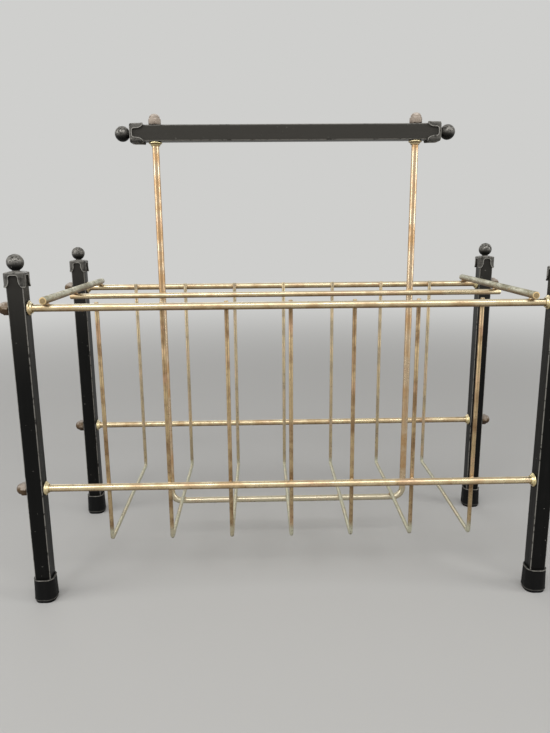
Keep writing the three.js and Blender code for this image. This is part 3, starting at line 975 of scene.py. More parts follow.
def weld_tree():
    """Grows an uneven bead of weld metal on each point, as large as its attribute says."""
    tree = Tree("Weld Beads", {"Unevenness": "Float", "Grain": "Float"})
    ball = tree.add("GeometryNodeMeshIcoSphere", {"Radius": 1.0, "Subdivisions": 4})
    placed = tree.add(
        "GeometryNodeInstanceOnPoints",
        {
            "Points": tree.input("Geometry"),
            "Instance": ball.outputs["Mesh"],
            "Scale": tree.attribute("bead_size", "FLOAT_VECTOR"),
        },
    )
    real = tree.add("GeometryNodeRealizeInstances", {"Geometry": placed.outputs["Instances"]})
    lumps = tree.add("ShaderNodeTexNoise", {"Scale": tree.input("Grain"), "Detail": 2.0})
    centred = tree.math("SUBTRACT", lumps.outputs["Fac"], 0.5)
    rise = tree.times(centred, tree.input("Unevenness"))
    normal = tree.add("GeometryNodeInputNormal").outputs["Normal"]
    move = tree.add("ShaderNodeVectorMath", {0: normal, "Scale": rise}, operation="SCALE")
    uneven = tree.add(
        "GeometryNodeSetPosition",
        {"Geometry": real.outputs["Geometry"], "Offset": move.outputs["Vector"]},
    )
    return tree.finish(uneven.outputs["Geometry"])


# Fasteners

NUT_SIDES = 72
DOME_STEPS = 12
DOME_POWER = 0.92  # below 1 for a dome that is fuller than a ball


def acorn_nut_mesh(sizes):
    """An acorn nut on Z with its flat face at height zero, and a blind bore."""
    sides = NUT_SIDES
    flat = sizes.across_flats / 2
    corner = flat / math.cos(math.pi / 6)
    height = sizes.hexagon
    slope = sizes.chamfer / (corner - flat)
    turns = [2 * math.pi * index / sides for index in range(sides)]

    def hexagon(inset, level, sloped):
        """A ring round the flats that rises towards its corners, or drops where sloped is -1."""
        points = []
        for turn in turns:
            off_flat = (turn % (math.pi / 3)) - math.pi / 6
            radius = flat / math.cos(off_flat) - inset
            drop = (radius + inset - flat) * slope * sloped
            points.append((radius * math.cos(turn), radius * math.sin(turn), level + drop))
        return points

    dome = flat - sizes.dome_step
    top = height + sizes.dome
    # From the end of the bore down to the flat face, up the six flats and in to the dome.
    rings = [
        [(0, 0, top - sizes.crown)],
        circle(sizes.bore, top - sizes.crown, sides),
        circle(sizes.bore, 0.3 * MM, sides),
        circle(sizes.bore + 0.3 * MM, 0, sides),
        circle(flat - 0.15 * MM, 0, sides),
        hexagon(0.05 * MM, 0.1 * MM, 0.45),
        hexagon(0.0, 0.2 * MM, 0.45),
        hexagon(0.0, height - 0.1 * MM, -1.0),
        hexagon(0.06 * MM, height, -1.0),
        circle(flat - 0.12 * MM, height + 0.02 * MM, sides),
        circle(dome + 0.08 * MM, height + 0.03 * MM, sides),
    ]
    for step in range(DOME_STEPS):
        turn = math.pi / 2 * step / DOME_STEPS
        level = height + 0.1 * MM + (sizes.dome - 0.1 * MM) * math.sin(turn)
        rings.append(circle(dome * math.cos(turn) ** DOME_POWER, level, sides))
    rings.append([(0, 0, top)])
    mesh = skin("acorn_nut", rings)
    mesh.transform(Matrix.Rotation(math.pi / 6, 4, "Z"))
    return mesh


WASHER_SIDES = 64
# A washer's section in millimetres, radius and height, run anticlockwise from its inner rim.
WASHER_SECTION = (
    (4.7, 0.0), (5.1, 0.02), (5.38, 0.2), (5.5, 0.55), (5.46, 0.95), (5.22, 1.25), (4.9, 1.38),
    (4.6, 1.48), (4.32, 1.68), (4.1, 1.98), (3.94, 2.32), (3.84, 2.66), (3.74, 2.94),
    (3.56, 3.1), (3.3, 3.1), (3.12, 2.96), (3.1, 2.7), (3.14, 2.3), (3.3, 1.8), (3.6, 1.25),
    (4.0, 0.7), (4.4, 0.25),
)


def washer_mesh():
    """A dished washer on Z: a round rim at height zero and a trumpet up to its collar."""
    rings = [circle(radius * MM, height * MM, WASHER_SIDES) for radius, height in WASHER_SECTION]
    return skin("dished_washer", rings, looped=True)


# Finishes

# Heights between which a finish changes, in metres.
# The enamel grows paler between these heights: painted light from above, with some dust and fading.
ENAMEL_DUST_AND_TOPLIGHT = (0.172, 0.31)
# The rods' tops turn pale between these heights: a painted highlight with some dust, weaker low
# down.
ROD_DUST_AND_SHEEN = (0.1, 0.2)
LOW_SPECKS = (0.17, 0.055)
# The runs near the floor turn pale between these heights: dust with a painted highlight.
FLOOR_RUN_SHEEN = (0.062, 0.054)
# Nuts darken towards the floor between these heights, and their flats pale higher up: painted shade
# and painted light.
NUT_SHADE = (0.12, 0.38)
NUT_FLATS_LIGHT = (0.26, 0.38)
# Places from front to back between which the pale film on the wires grows.
BACK_FILM = (-0.07, 0.075)


class Finish(Nodes):
    """A material under construction. Its methods add nodes and return their outputs."""

    def __init__(self, name):
        self.material = bpy.data.materials.get(name) or bpy.data.materials.new(name)
        self.material.use_nodes = True
        super().__init__(self.material.node_tree)
        self.tree.nodes.clear()
        self.shader = self.add("ShaderNodeBsdfPrincipled")
        surface = {"Surface": self.shader.outputs["BSDF"]}
        self.output = self.add("ShaderNodeOutputMaterial", surface)
        self.place = self.add("ShaderNodeTexCoord").outputs["Object"]

    def set(self, **inputs):
        """Feeds the shader's own sockets, named with underscores."""
        for key, value in inputs.items():
            self.feed(self.shader.inputs[key.replace("_", " ")], value)

    def noise(self, scale, detail=2.0, roughness=0.5, **mapping):
        """Noise with so many lumps in a metre. A mapping stretches or shifts its places."""
        place = self.place
        if mapping:
            place = self.add("ShaderNodeMapping", {"Vector": place, **mapping}).outputs[0]
        inputs = {"Vector": place, "Scale": scale, "Detail": detail, "Roughness": roughness}
        return self.add("ShaderNodeTexNoise", inputs).outputs["Fac"]

    def levels(self, value, low, high, to_low=0.0, to_high=1.0):
        """The value's share of the way from low to high, eased and held at the ends."""
        inputs = {
            "Value": value,
            "From Min": low,
            "From Max": high,
            "To Min": to_low,
            "To Max": to_high,
        }
        return self.add("ShaderNodeMapRange", inputs, interpolation_type="SMOOTHSTEP").outputs[0]

    def mix(self, factor, first, second):
        inputs = {0: factor, 6: first, 7: second}
        return self.add("ShaderNodeMix", inputs, data_type="RGBA").outputs[2]

    def attribute(self, name):
        return self.add("ShaderNodeAttribute", attribute_name=name).outputs["Fac"]

    def place_part(self, axis):
        return self.add("ShaderNodeSeparateXYZ", {"Vector": self.place}).outputs[axis]

    def upward(self):
        """How far the surface looks up, from -1 below to 1 on top."""
        normal = self.add("ShaderNodeNewGeometry").outputs["Normal"]
        return self.add("ShaderNodeSeparateXYZ", {"Vector": normal}).outputs["Z"]

    def bump(self, height, distance, strength, **normal):
        """Normals for bumps of a height from 0 to 1 over a distance in metres."""
        inputs = {"Height": height, "Distance": distance, "Strength": strength, **normal}
        return self.add("ShaderNodeBump", inputs).outputs["Normal"]


def enamel(name, grain, cast=False):
    """Black enamel with rubbed edges, chips and faint streaks, paler higher up as painted light
    from above with some dust. Grain stretches the streaks. On the castings the undersides keep
    painted shade, the caps' tops are bared more as wear with painted top light, and the tops of the
    balls turn to grey metal, partly rubbed and partly a painted highlight."""
    colours = settings().colours
    finish = Finish(name)
    clouds = finish.noise(45.0, 3.0)
    streaks = finish.noise(420.0, 3.0, 0.6, Scale=grain)
    faded = finish.times(finish.levels(clouds, 0.4, 0.7), finish.levels(streaks, 0.45, 0.75))
    base = finish.mix(faded, colours.enamel, colours.enamel_grey)
    # Paler towards the top: painted light from above, with some dust and fading.
    lightening = finish.levels(finish.place_part("Z"), *ENAMEL_DUST_AND_TOPLIGHT)
    if cast:
        # On the castings the paling is taken off the faces that look down: painted shade on the
        # undersides of the caps and balls.
        lightening = finish.times(lightening, finish.levels(finish.upward(), -0.7, 0.15))
    base = finish.mix(lightening, base, colours.enamel_dust_and_toplight)
    edge = finish.levels(finish.attribute("wear"), 0.42, 0.85)
    nibbles = finish.noise(260.0, 4.0, 0.65)
    worn = finish.times(edge, finish.levels(nibbles, 0.32, 0.5), clamped=True)
    shown = 0.95 if cast else 0.6
    base = finish.mix(finish.times(worn, shown), base, colours.enamel_bare)
    chips = finish.levels(finish.noise(620.0, 1.0, 0.4, Location=(3.0, 1.0, 2.0)), 0.77, 0.79)
    base = finish.mix(finish.times(chips, 0.6), base, colours.enamel_bare)
    gloss = colours.enamel_gloss
    rough = finish.levels(streaks, 0.3, 0.7, gloss - 0.06, gloss + 0.12)
    rough = finish.math("ADD", rough, finish.times(chips, 0.3))
    if cast:
        ball = finish.attribute("ball")
        # Tops bared more than sides: partly wear, partly painted light from above.
        rubbed = (colours.rubbed_sides, colours.rubbed_and_lit_tops)
        cap_wear_and_toplight = finish.levels(finish.upward(), 0.3, 0.95, *rubbed)
        cap_wear_and_toplight = finish.times(cap_wear_and_toplight, finish.levels(nibbles, 0.3, 0.58))
        off_ball = finish.math("SUBTRACT", 1.0, ball, clamped=True)
        base = finish.mix(finish.times(cap_wear_and_toplight, off_ball), base, colours.enamel_bare)
        # The balls' upper sides turn to grey metal: partly rubbed, partly a painted highlight.
        ball_sheen_and_rub = finish.times(ball, finish.levels(finish.upward(), -0.4, 0.4))
        blotches = finish.levels(finish.noise(520.0, 4.0, 0.65), 0.34, 0.6)
        ball_sheen_and_rub = finish.times(ball_sheen_and_rub, blotches, clamped=True)
        base = finish.mix(ball_sheen_and_rub, base, colours.rubbed_ball_and_sheen)
        finish.set(Metallic=finish.times(ball_sheen_and_rub, 0.65))
    flaws = finish.math("ADD", chips, worn, clamped=True)
    peel = finish.bump(finish.noise(1400.0), 0.00006, 0.35)
    dents = finish.bump(finish.math("SUBTRACT", 1.0, flaws), 0.0001, 0.6, Normal=peel)
    finish.set(Base_Color=base, Roughness=rough, Normal=dents, Specular_IOR_Level=0.12)
    return finish.material


def rubber():
    """Dull black rubber with a faint grey mottle, and a pale painted highlight on its beads and
    lip.
    """
    colours = settings().colours
    finish = Finish("black_rubber")
    dust_and_sheen = finish.noise(300.0, 4.0, 0.6)
    lightening = finish.levels(dust_and_sheen, 0.5, 0.8, 0.0, 0.5)
    base = finish.mix(lightening, colours.rubber, colours.enamel_grey)
    # Pale beads and lip: a painted highlight.
    rim = finish.times(finish.attribute("rim"), finish.levels(dust_and_sheen, 0.25, 0.6, 0.25, 0.9))
    base = finish.mix(rim, base, colours.rubber_bead_highlight)
    rough = finish.levels(dust_and_sheen, 0.3, 0.7, 0.52, 0.72)
    pores = finish.bump(finish.noise(1800.0), 0.00008, 0.5)
    finish.set(Base_Color=base, Roughness=rough, Normal=pores, Specular_IOR_Level=0.15)
    return finish.material


def brass(name, bright, dull, specks, floor_bloom_and_sheen=0.0, back_bloom=0.0, gloss=None, cut=False):
    """Old lacquered brass: dulled patches, a coppery blush, dark specks below, a pale painted
    highlight with some dust on the upper sides, and painted shade in warm brown on the undersides.
    The blooms are the pale film on the rods near the floor, partly a painted highlight, and on the
    wires at the back. A cut rod has its coppery ends marked."""
    colours = settings().colours
    finish = Finish(name)
    patches = finish.noise(70.0, 4.0, 0.6)
    base = finish.mix(finish.levels(patches, 0.38, 0.66), bright, dull)
    warmth = finish.noise(38.0, 3.0, 0.55, Location=(1.0, 4.0, 7.0))
    base = finish.mix(finish.levels(warmth, 0.52, 0.7, 0.0, 0.5), base, colours.rail_blush)
    upward = finish.upward()
    height = finish.place_part("Z")
    # Upper sides paler: a painted highlight with some dust, less of it on the low rods.
    lightening = finish.levels(upward, 0.1, 0.95, 0.0, colours.dust_and_sheen)
    lightening = finish.times(lightening, finish.levels(height, *ROD_DUST_AND_SHEEN, 0.3, 1.0))
    base = finish.mix(lightening, base, colours.pale_brass_and_sheen)
    # Faces that look down: they get painted shade, and denser specks.
    below = finish.levels(upward, 0.02, -0.85)
    pressed = finish.math("ADD", finish.noise(760.0, 3.0, 0.55), finish.times(below, 0.09))
    low = finish.levels(height, *LOW_SPECKS)
    pressed = finish.math("ADD", pressed, finish.times(low, 0.05))
    speck = finish.levels(pressed, 0.66 - 0.12 * specks, 0.86 - 0.12 * specks)
    # Undersides turn dark warm brown: painted shade.
    base = finish.mix(finish.times(below, colours.tarnish), base, colours.warm_underside_shade)
    if floor_bloom_and_sheen:
        back = finish.levels(finish.place_part("Y"), *BACK_FILM, 0.0, back_bloom)
        # Runs on the floor turn pale: dust with a painted highlight.
        floor_run_sheen = finish.levels(height, *FLOOR_RUN_SHEEN, 0.0, floor_bloom_and_sheen)
        bloom = finish.math("MAXIMUM", back, floor_run_sheen)
        bloom = finish.times(bloom, finish.levels(patches, 0.3, 0.6, 0.45, 0.95))
        base = finish.mix(bloom, base, colours.wire_pale)
    base = finish.mix(finish.times(speck, 0.6), base, colours.grime)
    if cut:
        base = finish.mix(finish.attribute("cut"), base, colours.cut_end)
    gloss = colours.brass_gloss if gloss is None else gloss
    rough = finish.levels(patches, 0.35, 0.7, gloss - 0.04, gloss + 0.16)
    rough = finish.math("ADD", rough, finish.times(speck, 0.35), clamped=True)
    metal = finish.levels(speck, 0.0, 1.0, 0.95, 0.6)
    grain = finish.bump(finish.noise(1500.0, 3.0), 0.00005, 0.4)
    pitted = finish.bump(finish.math("SUBTRACT", 1.0, speck), 0.00005, 0.35, Normal=grain)
    finish.set(Base_Color=base, Roughness=rough, Metallic=metal, Normal=pitted)
    finish.set(Coat_Weight=colours.lacquer, Coat_Roughness=0.22)
    return finish.material


def nut_brass():
    """Dull brass: a pale tone on the upper sides as painted top light, darker on the nuts near the
    floor as painted shade, over brown flats that are paler higher up, with painted shade below.
    """
    colours = settings().colours
    finish = Finish("nut_brass")
    patches = finish.noise(190.0, 4.0, 0.65)
    tilt = finish.levels(patches, 0.3, 0.7, -0.22, 0.22)
    uneven = finish.math("ADD", finish.upward(), tilt)
    height = finish.place_part("Z")
    # Lower nuts darker and upper sides paler: painted shade and painted top light.
    film = finish.mix(finish.levels(height, *NUT_SHADE), colours.nut_low_shade, colours.nut)
    paler = finish.levels(height, *NUT_FLATS_LIGHT, 0.0, 0.38)
    flats = finish.mix(paler, colours.nut_dull, colours.nut)
    base = finish.mix(finish.levels(uneven, 0.2, 0.85), flats, film)
    # Dark brown under the nuts: painted shade.
    base = finish.mix(finish.levels(uneven, 0.05, -0.7, 0.0, 0.85), base, colours.grime)
    rough = finish.levels(patches, 0.3, 0.7, 0.5, 0.66)
    crust = finish.bump(finish.noise(900.0, 3.0, 0.6), 0.00012, 0.5)
    finish.set(Base_Color=base, Roughness=rough, Metallic=0.5, Normal=crust)
    return finish.material


def greened_brass():
    """Brass under a grey-green bloom, with coppery cut ends."""
    colours = settings().colours
    finish = Finish("greened_brass")
    patches = finish.noise(150.0, 4.0, 0.65, Scale=(1.0, 0.35, 1.0))
    base = finish.mix(finish.levels(patches, 0.35, 0.65), colours.patina, colours.patina_dark)
    shine = finish.levels(finish.noise(330.0, 3.0, 0.6), 0.55, 0.68)
    base = finish.mix(finish.times(shine, 0.7), base, colours.wire)
    speck = finish.levels(finish.noise(620.0, 3.0, 0.6, Location=(2.0, 5.0, 1.0)), 0.6, 0.68)
    base = finish.mix(finish.times(speck, 0.8), base, colours.grime)
    # Undersides turn dark warm brown: painted shade under the greened crosswires.
    below = finish.levels(finish.upward(), 0.45, -0.6, 0.0, 0.8)
    base = finish.mix(below, base, colours.warm_underside_shade)
    cut = finish.attribute("cut")
    base = finish.mix(finish.levels(cut, 0.2, 0.5), base, colours.cut_end)
    base = finish.mix(finish.levels(cut, 0.7, 1.0, 0.0, 0.6), base, colours.nut_dull)
    metal = finish.levels(shine, 0.0, 1.0, 0.45, 0.9)
    rough = finish.levels(patches, 0.3, 0.7, 0.4, 0.62)
    crust = finish.bump(finish.noise(700.0, 4.0, 0.65), 0.0002, 0.6)
    finish.set(Base_Color=base, Roughness=rough, Metallic=metal, Normal=crust)
    return finish.material


# Operators

# Stretches that draw the streaks of the enamel out along the legs and along the bar.
LEG_GRAIN = (1.0, 1.0, 0.03)
BAR_GRAIN = (0.03, 1.0, 1.0)
EVEN_GRAIN = (1.0, 1.0, 1.0)
CASTING_LUMPS = 260.0  # in a metre of the castings
OVER_HANDLE_ROD = 2  # the corner of a basket wire that has no bend radius
# Half sizes of the weld beads in millimetres: along, across and up.
RAIL_BEAD = (1.9, 0.8, 2.5)
FLOOR_BEAD = (1.9, 2.4, 0.7)
CROSSWIRE_BEAD = (2.5, 2.5, 0.9)
MID_RAIL_BEAD = (2.3, 2.2, 0.8)
HANDLE_BEAD = (2.3, 0.8, 2.0)
BEAD_OFFSET = 2.95 * MM  # from the axis of a rod to the bead in its side
BEAD_RISE = 0.15 * MM  # from the top or bottom of a rod to the middle of a bead there


def hole_radius():
    """The radius of a hole in the tube, with room round the stud."""
    stud = span("rail_front_top").z / 2 - settings().rods.shoulder
    return stud + settings().tube.hole_fit


class BASKET_OT_legs(Operator):
    """Build the four legs of black square tube"""

    bl_idname = "basket.legs"
    bl_label = "Legs"

    def execute(self, context):
        sizes = settings().tube
        hole = hole_radius()
        material = enamel("leg_enamel", LEG_GRAIN)
        for place in LEG_PLACES:
            node = f"leg_{place}"
            row = place.split("_")[0]
            low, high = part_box(node)
            holes = [(centre(f"rail_{row}_{level}").z, hole) for level in LEVELS]
            name = f"enamelled_leg_{place}"
            mesh = square_tube(name, high.x - low.x, low.z, high.z, holes, sizes)
            middle = centre(node)
            mesh.transform(Matrix.Translation((middle.x, middle.y, 0)))
            add_piece(name, mesh, [node], material)
        return {"FINISHED"}


class BASKET_OT_handle_bar(Operator):
    """Build the handle bar of black square tube"""

    bl_idname = "basket.handle_bar"
    bl_label = "Handle Bar"

    def execute(self, context):
        sizes = settings().tube
        low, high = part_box("handle_bar")
        half = (high.x - low.x) / 2
        hole = hole_radius()
        holes = [(centre(f"handle_nut_{side}").x, hole) for side in SIDES]
        name = "enamelled_handle_bar"
        mesh = square_tube(name, high.z - low.z, -half, half, holes, sizes)
        mesh.transform(turned_to(ALONG, centre("handle_bar")))
        material = enamel("bar_enamel", BAR_GRAIN)
        add_piece(name, mesh, ["handle_bar"], material)
        return {"FINISHED"}


class BASKET_OT_finials(Operator):
    """Build the scalloped caps with a ball on the legs and the handle bar"""

    bl_idname = "basket.finials"
    bl_label = "Finials"

    def execute(self, context):
        sizes = settings().finial
        tube_side = span("leg_front_left").x
        material = enamel("cast_enamel", EVEN_GRAIN, cast=True)
        ends = []
        for place in LEG_PLACES:
            middle = centre(f"leg_{place}")
            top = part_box(f"leg_{place}")[1].z
            ends.append((f"finial_{place}", UP, Vector((middle.x, middle.y, top))))
        bar_low, bar_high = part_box("handle_bar")
        middle = centre("handle_bar")
        for side, end in (("left", bar_low.x), ("right", bar_high.x)):
            place = Vector((end, middle.y, middle.z))
            ends.append((f"handle_finial_{side}", outward(side), place))
        for node, direction, end in ends:
            mesh = finial_mesh(tube_side, sizes.pocket_fit, sizes)
            mesh.transform(turned_to(direction, end))
            roughen(mesh, sizes.casting, CASTING_LUMPS)
            add_piece(f"cast_{node}", mesh, [node], material)
        return {"FINISHED"}


class BASKET_OT_feet(Operator):
    """Build the four rubber feet"""

    bl_idname = "basket.feet"
    bl_label = "Feet"

    def execute(self, context):
        material = rubber()
        tube_side = span("leg_front_left").x
        for place in LEG_PLACES:
            node = f"foot_{place}"
            mesh = foot_mesh(tube_side, span(node).z, settings().foot)
            middle = centre(node)
            mesh.transform(Matrix.Translation((middle.x, middle.y, 0)))
            add_piece(f"rubber_{node}", mesh, [node], material)
        return {"FINISHED"}


class BASKET_OT_rails(Operator):
    """Build the four brass rails with their studs"""

    bl_idname = "basket.rails"
    bl_label = "Rails"

    def execute(self, context):
        colours = settings().colours
        material = brass("rail_brass", colours.rail, colours.rail_dull, specks=0.45)
        for place in RAIL_PLACES:
            node = f"rail_{place}"
            name = f"brass_{node}"
            mesh = rail_mesh(name, node, settings().rods)
            add_piece(name, mesh, [node], material)
        return {"FINISHED"}


class BASKET_OT_crosswires(Operator):
    """Build the two greened crosswires over the ends of the basket"""

    bl_idname = "basket.crosswires"
    bl_label = "Crosswires"

    def execute(self, context):
        material = greened_brass()
        for side in SIDES:
            node = f"crosswire_{side}"
            name = f"greened_{node}"
            mesh = cut_rod(name, node, ACROSS, settings().rods)
            add_piece(name, mesh, [node], material)
        return {"FINISHED"}


class BASKET_OT_mid_rail(Operator):
    """Build the thinner rail that parts the basket in two"""

    bl_idname = "basket.mid_rail"
    bl_label = "Mid Rail"

    def execute(self, context):
        colours = settings().colours
        material = brass("mid_rail_brass", colours.rail, colours.rail_dull, specks=0.4, cut=True)
        mesh = cut_rod("brass_mid_rail", "mid_rail", ALONG, settings().rods)
        add_piece("brass_mid_rail", mesh, ["mid_rail"], material)
        return {"FINISHED"}


class BASKET_OT_basket_wires(Operator):
    """Bend the seven basket wires"""

    bl_idname = "basket.basket_wires"
    bl_label = "Basket Wires"

    def execute(self, context):
        sizes = settings().rods
        colours = settings().colours
        material = brass("wire_brass", colours.wire, colours.wire_dull, specks=0.8,
                         floor_bloom_and_sheen=1.0, back_bloom=0.35, gloss=0.36)
        for node in WIRE_NAMES:
            low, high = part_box(node)
            radius = (high.x - low.x) / 2
            x = centre(node).x
            top = high.z - sizes.wire_end
            front_floor = low.z + radius
            floor = front_floor + sizes.wire_dip
            corners = [
                (x, low.y + radius, top),
                (x, low.y + radius, front_floor),
                (x, 0, floor),
                (x, high.y - radius, floor),
                (x, high.y - radius, top),
            ]
            values = {
                "Radius": radius,
                "Bend Radius": sizes.wire_bend,
                "Bend Steps": sizes.bend_steps,
                "Sides": sizes.wire_sides,
                "End Round": sizes.wire_end,
                "Studs": False,
                "Stud Radius": radius,
                "Stud Length": radius,
            }
            name = f"bent_{node}"
            mesh = bent_rod(name, corners, values, material, [OVER_HANDLE_ROD])
            add_piece(name, mesh, [node])
        return {"FINISHED"}


class BASKET_OT_handle_rod(Operator):
    """Bend the rod that carries the handle bar"""

    bl_idname = "basket.handle_rod"
    bl_label = "Handle Rod"

    def execute(self, context):
        sizes = settings().rods
        colours = settings().colours
        material = brass("handle_rod_brass", colours.handle_rod, colours.handle_rod_dull,
                         specks=0.35, floor_bloom_and_sheen=0.75)
        low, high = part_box("handle_rod")
        radius = (high.y - low.y) / 2
        left = low.x + radius
        right = high.x - radius
        floor = low.z + radius
        shoulder = high.z - sizes.stud
        corners = [(left, 0, shoulder), (left, 0, floor), (right, 0, floor), (right, 0, shoulder)]
        values = {
            "Radius": radius,
            "Bend Radius": sizes.handle_bend,
            "Bend Steps": sizes.bend_steps,
            "Sides": sizes.rod_sides,
            "End Round": radius,
            "Studs": True,
            "Stud Radius": radius - sizes.shoulder,
            "Stud Length": sizes.stud,
        }
        mesh = bent_rod("bent_handle_rod", corners, values, material)
        add_piece("bent_handle_rod", mesh, ["handle_rod"])
        return {"FINISHED"}


def seat(node, direction):
    """The middle of the end of a CAD node that lies furthest back along a direction."""
    low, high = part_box(node)
    middle = (low + high) / 2
    reach = abs((high - low).dot(direction)) / 2
    return middle - direction * reach


def hardware(kind, facing, spins):
    """The CAD names of the nuts or washers and the matrices that seat them. They look outwards
    and up where facing is 1, and inwards and down where it is -1."""
    rows = [(f"{kind}_{place}_{side}", outward(side)) for place in RAIL_PLACES for side in SIDES]
    rows += [(f"handle_{kind}_{side}", UP) for side in SIDES]
    matrices = []
    for (node, direction), spin in zip(rows, spins):
        direction = direction * facing
        matrices.append(turned_to(direction, seat(node, direction), spin))
    return [node for node, _ in rows], matrices


class BASKET_OT_acorn_nuts(Operator):
    """Place the ten acorn nuts on the ends of the rails and the handle rod"""

    bl_idname = "basket.acorn_nuts"
    bl_label = "Acorn Nuts"

    def execute(self, context):
        names, matrices = hardware("nut", 1, NUT_TURNS)
        mesh = fasteners("acorn_nuts", acorn_nut_mesh(settings().hardware), matrices, nut_brass())
        add_piece("acorn_nuts", mesh, names)
        return {"FINISHED"}


class BASKET_OT_washers(Operator):
    """Place the ten dished washers against the legs and under the handle bar"""

    bl_idname = "basket.washers"
    bl_label = "Washers"

    def execute(self, context):
        names, matrices = hardware("washer", -1, WASHER_TURNS)
        colours = settings().colours
        material = brass("washer_brass", colours.washer, colours.rail, specks=0.1, gloss=0.26)
        mesh = fasteners("dished_washers", washer_mesh(), matrices, material)
        add_piece("dished_washers", mesh, names)
        return {"FINISHED"}


class BASKET_OT_welds(Operator):
    """Run weld metal into the joints of the rails and wires"""

    bl_idname = "basket.welds"
    bl_label = "Welds"

    def execute(self, context):
        beads = []
        for node in WIRE_NAMES:
            x = centre(node).x
            for place in RAIL_PLACES:
                rail = centre(f"rail_{place}")
                inward = -1 if rail.y > 0 else 1
                beads.append(((x, rail.y + inward * BEAD_OFFSET, rail.z), RAIL_BEAD))
        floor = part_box("handle_rod")[0].z + span("handle_rod").y
        for node in WELDED_WIRES:
            beads.append(((centre(node).x, 0, floor + BEAD_RISE), FLOOR_BEAD))
        mid = centre("mid_rail")
        for side in SIDES:
            x = centre(f"crosswire_{side}").x
            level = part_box(f"crosswire_{side}")[0].z - BEAD_RISE
            for row in ROWS:
                beads.append(((x, centre(f"rail_{row}_top").y, level), CROSSWIRE_BEAD))
            beads.append(((x, mid.y, level), MID_RAIL_BEAD))
        for side in SIDES:
            x = centre(f"handle_nut_{side}").x
            beads.append(((x, -BEAD_OFFSET, mid.z), HANDLE_BEAD))
        points = bpy.data.meshes.new("weld_beads")
        points.from_pydata([place for place, _ in beads], [], [])
        sizes = points.attributes.new("bead_size", "FLOAT_VECTOR", "POINT")
        for item, (_, size) in zip(sizes.data, beads):
            item.vector = Vector(size) * MM
        welds = settings().welds
        colours = settings().colours
        material = brass("weld_brass", colours.weld, colours.weld_dark, specks=0.5, gloss=0.42)
        values = {"Unevenness": welds.unevenness, "Grain": welds.grain, "Material": material}
        mesh = grown("weld_beads", weld_tree(), points, values)
        smooth(mesh, SMOOTH_ANGLE)
        add_piece("weld_beads", mesh, [])
        return {"FINISHED"}


FLOOR_RADIUS = 9.0
FLOOR_SIDES = 96
FLOOR_FADE = (0.55, 2.0)  # distances between which the floor fades into the surround
LIT_POINT = Vector((0, 0, 0.18))
# Each lamp with its setting, its place and the width and height of its face.
LAMPS = (
    ("key_light", "key", (-1.15, -1.35, 1.55), (1.3, 1.0)),
    ("top_light", "overhead", (0.1, -1.15, 1.4), (1.9, 0.5)),
    ("left_light", "left", (-1.6, -0.55, 0.6), (0.7, 1.1)),
    ("right_light", "right", (1.6, -0.55, 0.6), (0.7, 1.1)),
    ("rim_light", "rim", (-0.5, 1.7, 1.1), (1.4, 0.8)),
)


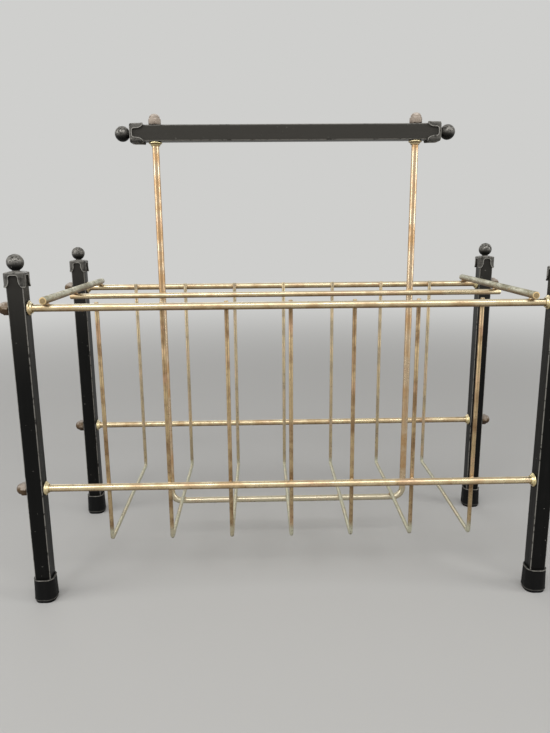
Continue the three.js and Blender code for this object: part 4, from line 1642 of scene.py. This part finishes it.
class BASKET_OT_stage(Operator):
    """Lay the floor, light it and place the camera"""

    bl_idname = "basket.stage"
    bl_label = "Stage"

    def execute(self, context):
        stage = settings().stage
        context.scene.view_settings.view_transform = "Standard"
        self.add_floor(stage)
        self.add_surround(context, stage)
        for name, setting, place, size in LAMPS:
            self.add_light(context, name, place, getattr(stage, setting), size)
        self.add_camera(context, stage)
        return {"FINISHED"}

    @staticmethod
    def add_floor(stage):
        """A disc that fades into the surround towards its rim."""
        rings = [circle(FLOOR_RADIUS, height, FLOOR_SIDES)[::-1] for height in (0.0, -MM)]
        mesh = skin("floor", rings)
        finish = Finish("floor_paper")
        finish.set(Base_Color=stage.floor, Roughness=1.0, Specular_IOR_Level=0.0)
        reach = finish.add("ShaderNodeVectorMath", {0: finish.place}, operation="LENGTH")
        fade = finish.levels(reach.outputs["Value"], *FLOOR_FADE)
        glow = finish.add("ShaderNodeEmission", {"Color": stage.surround, "Strength": 1.0})
        shaders = {0: fade, 1: finish.shader.outputs[0], 2: glow.outputs[0]}
        mixed = finish.add("ShaderNodeMixShader", shaders)
        finish.feed(finish.output.inputs["Surface"], mixed.outputs[0])
        mesh.materials.append(finish.material)
        scratch_object("floor", mesh)

    @staticmethod
    def add_surround(context, stage):
        """A world that looks pale and lights the basket at a lower level."""
        world = bpy.data.worlds.new("surround")
        world.use_nodes = True
        context.scene.world = world
        world.node_tree.nodes.clear()
        nodes = Nodes(world.node_tree)
        seen = nodes.add("ShaderNodeBackground", {"Color": stage.surround})
        lit = nodes.add("ShaderNodeBackground", {"Strength": stage.surround_light})
        rays = nodes.add("ShaderNodeLightPath").outputs
        shown = nodes.math("MAXIMUM", rays["Is Camera Ray"], rays["Is Glossy Ray"])
        shown = nodes.math("MAXIMUM", shown, rays["Is Transmission Ray"])
        shaders = {0: shown, 1: lit.outputs[0], 2: seen.outputs[0]}
        mixed = nodes.add("ShaderNodeMixShader", shaders)
        nodes.add("ShaderNodeOutputWorld", {"Surface": mixed.outputs[0]})

    @staticmethod
    def add_light(context, name, place, watts, size):
        data = bpy.data.lights.new(name, "AREA")
        data.shape = "RECTANGLE"
        data.size, data.size_y = size
        data.energy = watts
        lamp = bpy.data.objects.new(name, data)
        context.scene.collection.objects.link(lamp)
        lamp.location = place
        lamp.rotation_euler = (LIT_POINT - Vector(place)).to_track_quat("-Z", "Y").to_euler()

    @staticmethod
    def add_camera(context, stage):
        yaw, pitch, roll = stage.camera_yaw, stage.camera_pitch, stage.camera_roll
        ahead = Vector(
            (math.sin(yaw) * math.cos(pitch), math.cos(yaw) * math.cos(pitch), math.sin(pitch))
        )
        level = Vector((math.cos(yaw), -math.sin(yaw), 0))
        upright = level.cross(ahead)
        right = level * math.cos(roll) + upright * math.sin(roll)
        top = upright * math.cos(roll) - level * math.sin(roll)
        data = bpy.data.cameras.new("camera")
        data.lens = stage.camera_lens
        data.sensor_width = 36.0
        data.clip_start = 0.01
        data.clip_end = 100.0
        camera = bpy.data.objects.new("camera", data)
        context.scene.collection.objects.link(camera)
        turn = Matrix((right, top, -ahead)).transposed().to_4x4()
        camera.matrix_world = Matrix.Translation(stage.camera_place) @ turn
        context.scene.camera = camera


class BASKET_PT_panel(Panel):
    """Lists the basket's pieces in the sidebar"""

    bl_idname = "BASKET_PT_panel"
    bl_label = "Magazine Basket"
    bl_space_type = "VIEW_3D"
    bl_region_type = "UI"
    bl_category = "Basket"

    def draw(self, context):
        column = self.layout.column(align=True)
        for operator in OPERATORS:
            column.operator(operator.bl_idname)
        chosen = settings()
        for key in BasketSettings.__annotations__:
            group = getattr(chosen, key)
            box = self.layout.box()
            box.label(text=BasketSettings.bl_rna.properties[key].name)
            for setting in group.__annotations__:
                box.prop(group, setting)


GROUPS = (
    BasketTube,
    BasketFinial,
    BasketFoot,
    BasketRods,
    BasketHardware,
    BasketWelds,
    BasketColours,
    BasketStage,
    BasketSettings,
)
OPERATORS = (
    BASKET_OT_legs,
    BASKET_OT_handle_bar,
    BASKET_OT_finials,
    BASKET_OT_feet,
    BASKET_OT_rails,
    BASKET_OT_crosswires,
    BASKET_OT_mid_rail,
    BASKET_OT_basket_wires,
    BASKET_OT_handle_rod,
    BASKET_OT_acorn_nuts,
    BASKET_OT_washers,
    BASKET_OT_welds,
    BASKET_OT_stage,
)
CLASSES = (*GROUPS, *OPERATORS, BASKET_PT_panel)


def register():
    for item in CLASSES:
        bpy.utils.register_class(item)
    bpy.types.Scene.magazine_basket = PointerProperty(type=BasketSettings)


def unregister():
    del bpy.types.Scene.magazine_basket
    for item in reversed(CLASSES):
        bpy.utils.unregister_class(item)


def main():
    register()
    bpy.ops.basket.legs()
    bpy.ops.basket.handle_bar()
    bpy.ops.basket.finials()
    bpy.ops.basket.feet()
    bpy.ops.basket.rails()
    bpy.ops.basket.crosswires()
    bpy.ops.basket.mid_rail()
    bpy.ops.basket.basket_wires()
    bpy.ops.basket.handle_rod()
    bpy.ops.basket.acorn_nuts()
    bpy.ops.basket.washers()
    bpy.ops.basket.welds()
    bpy.ops.basket.stage()


if __name__ == "__main__":
    main()
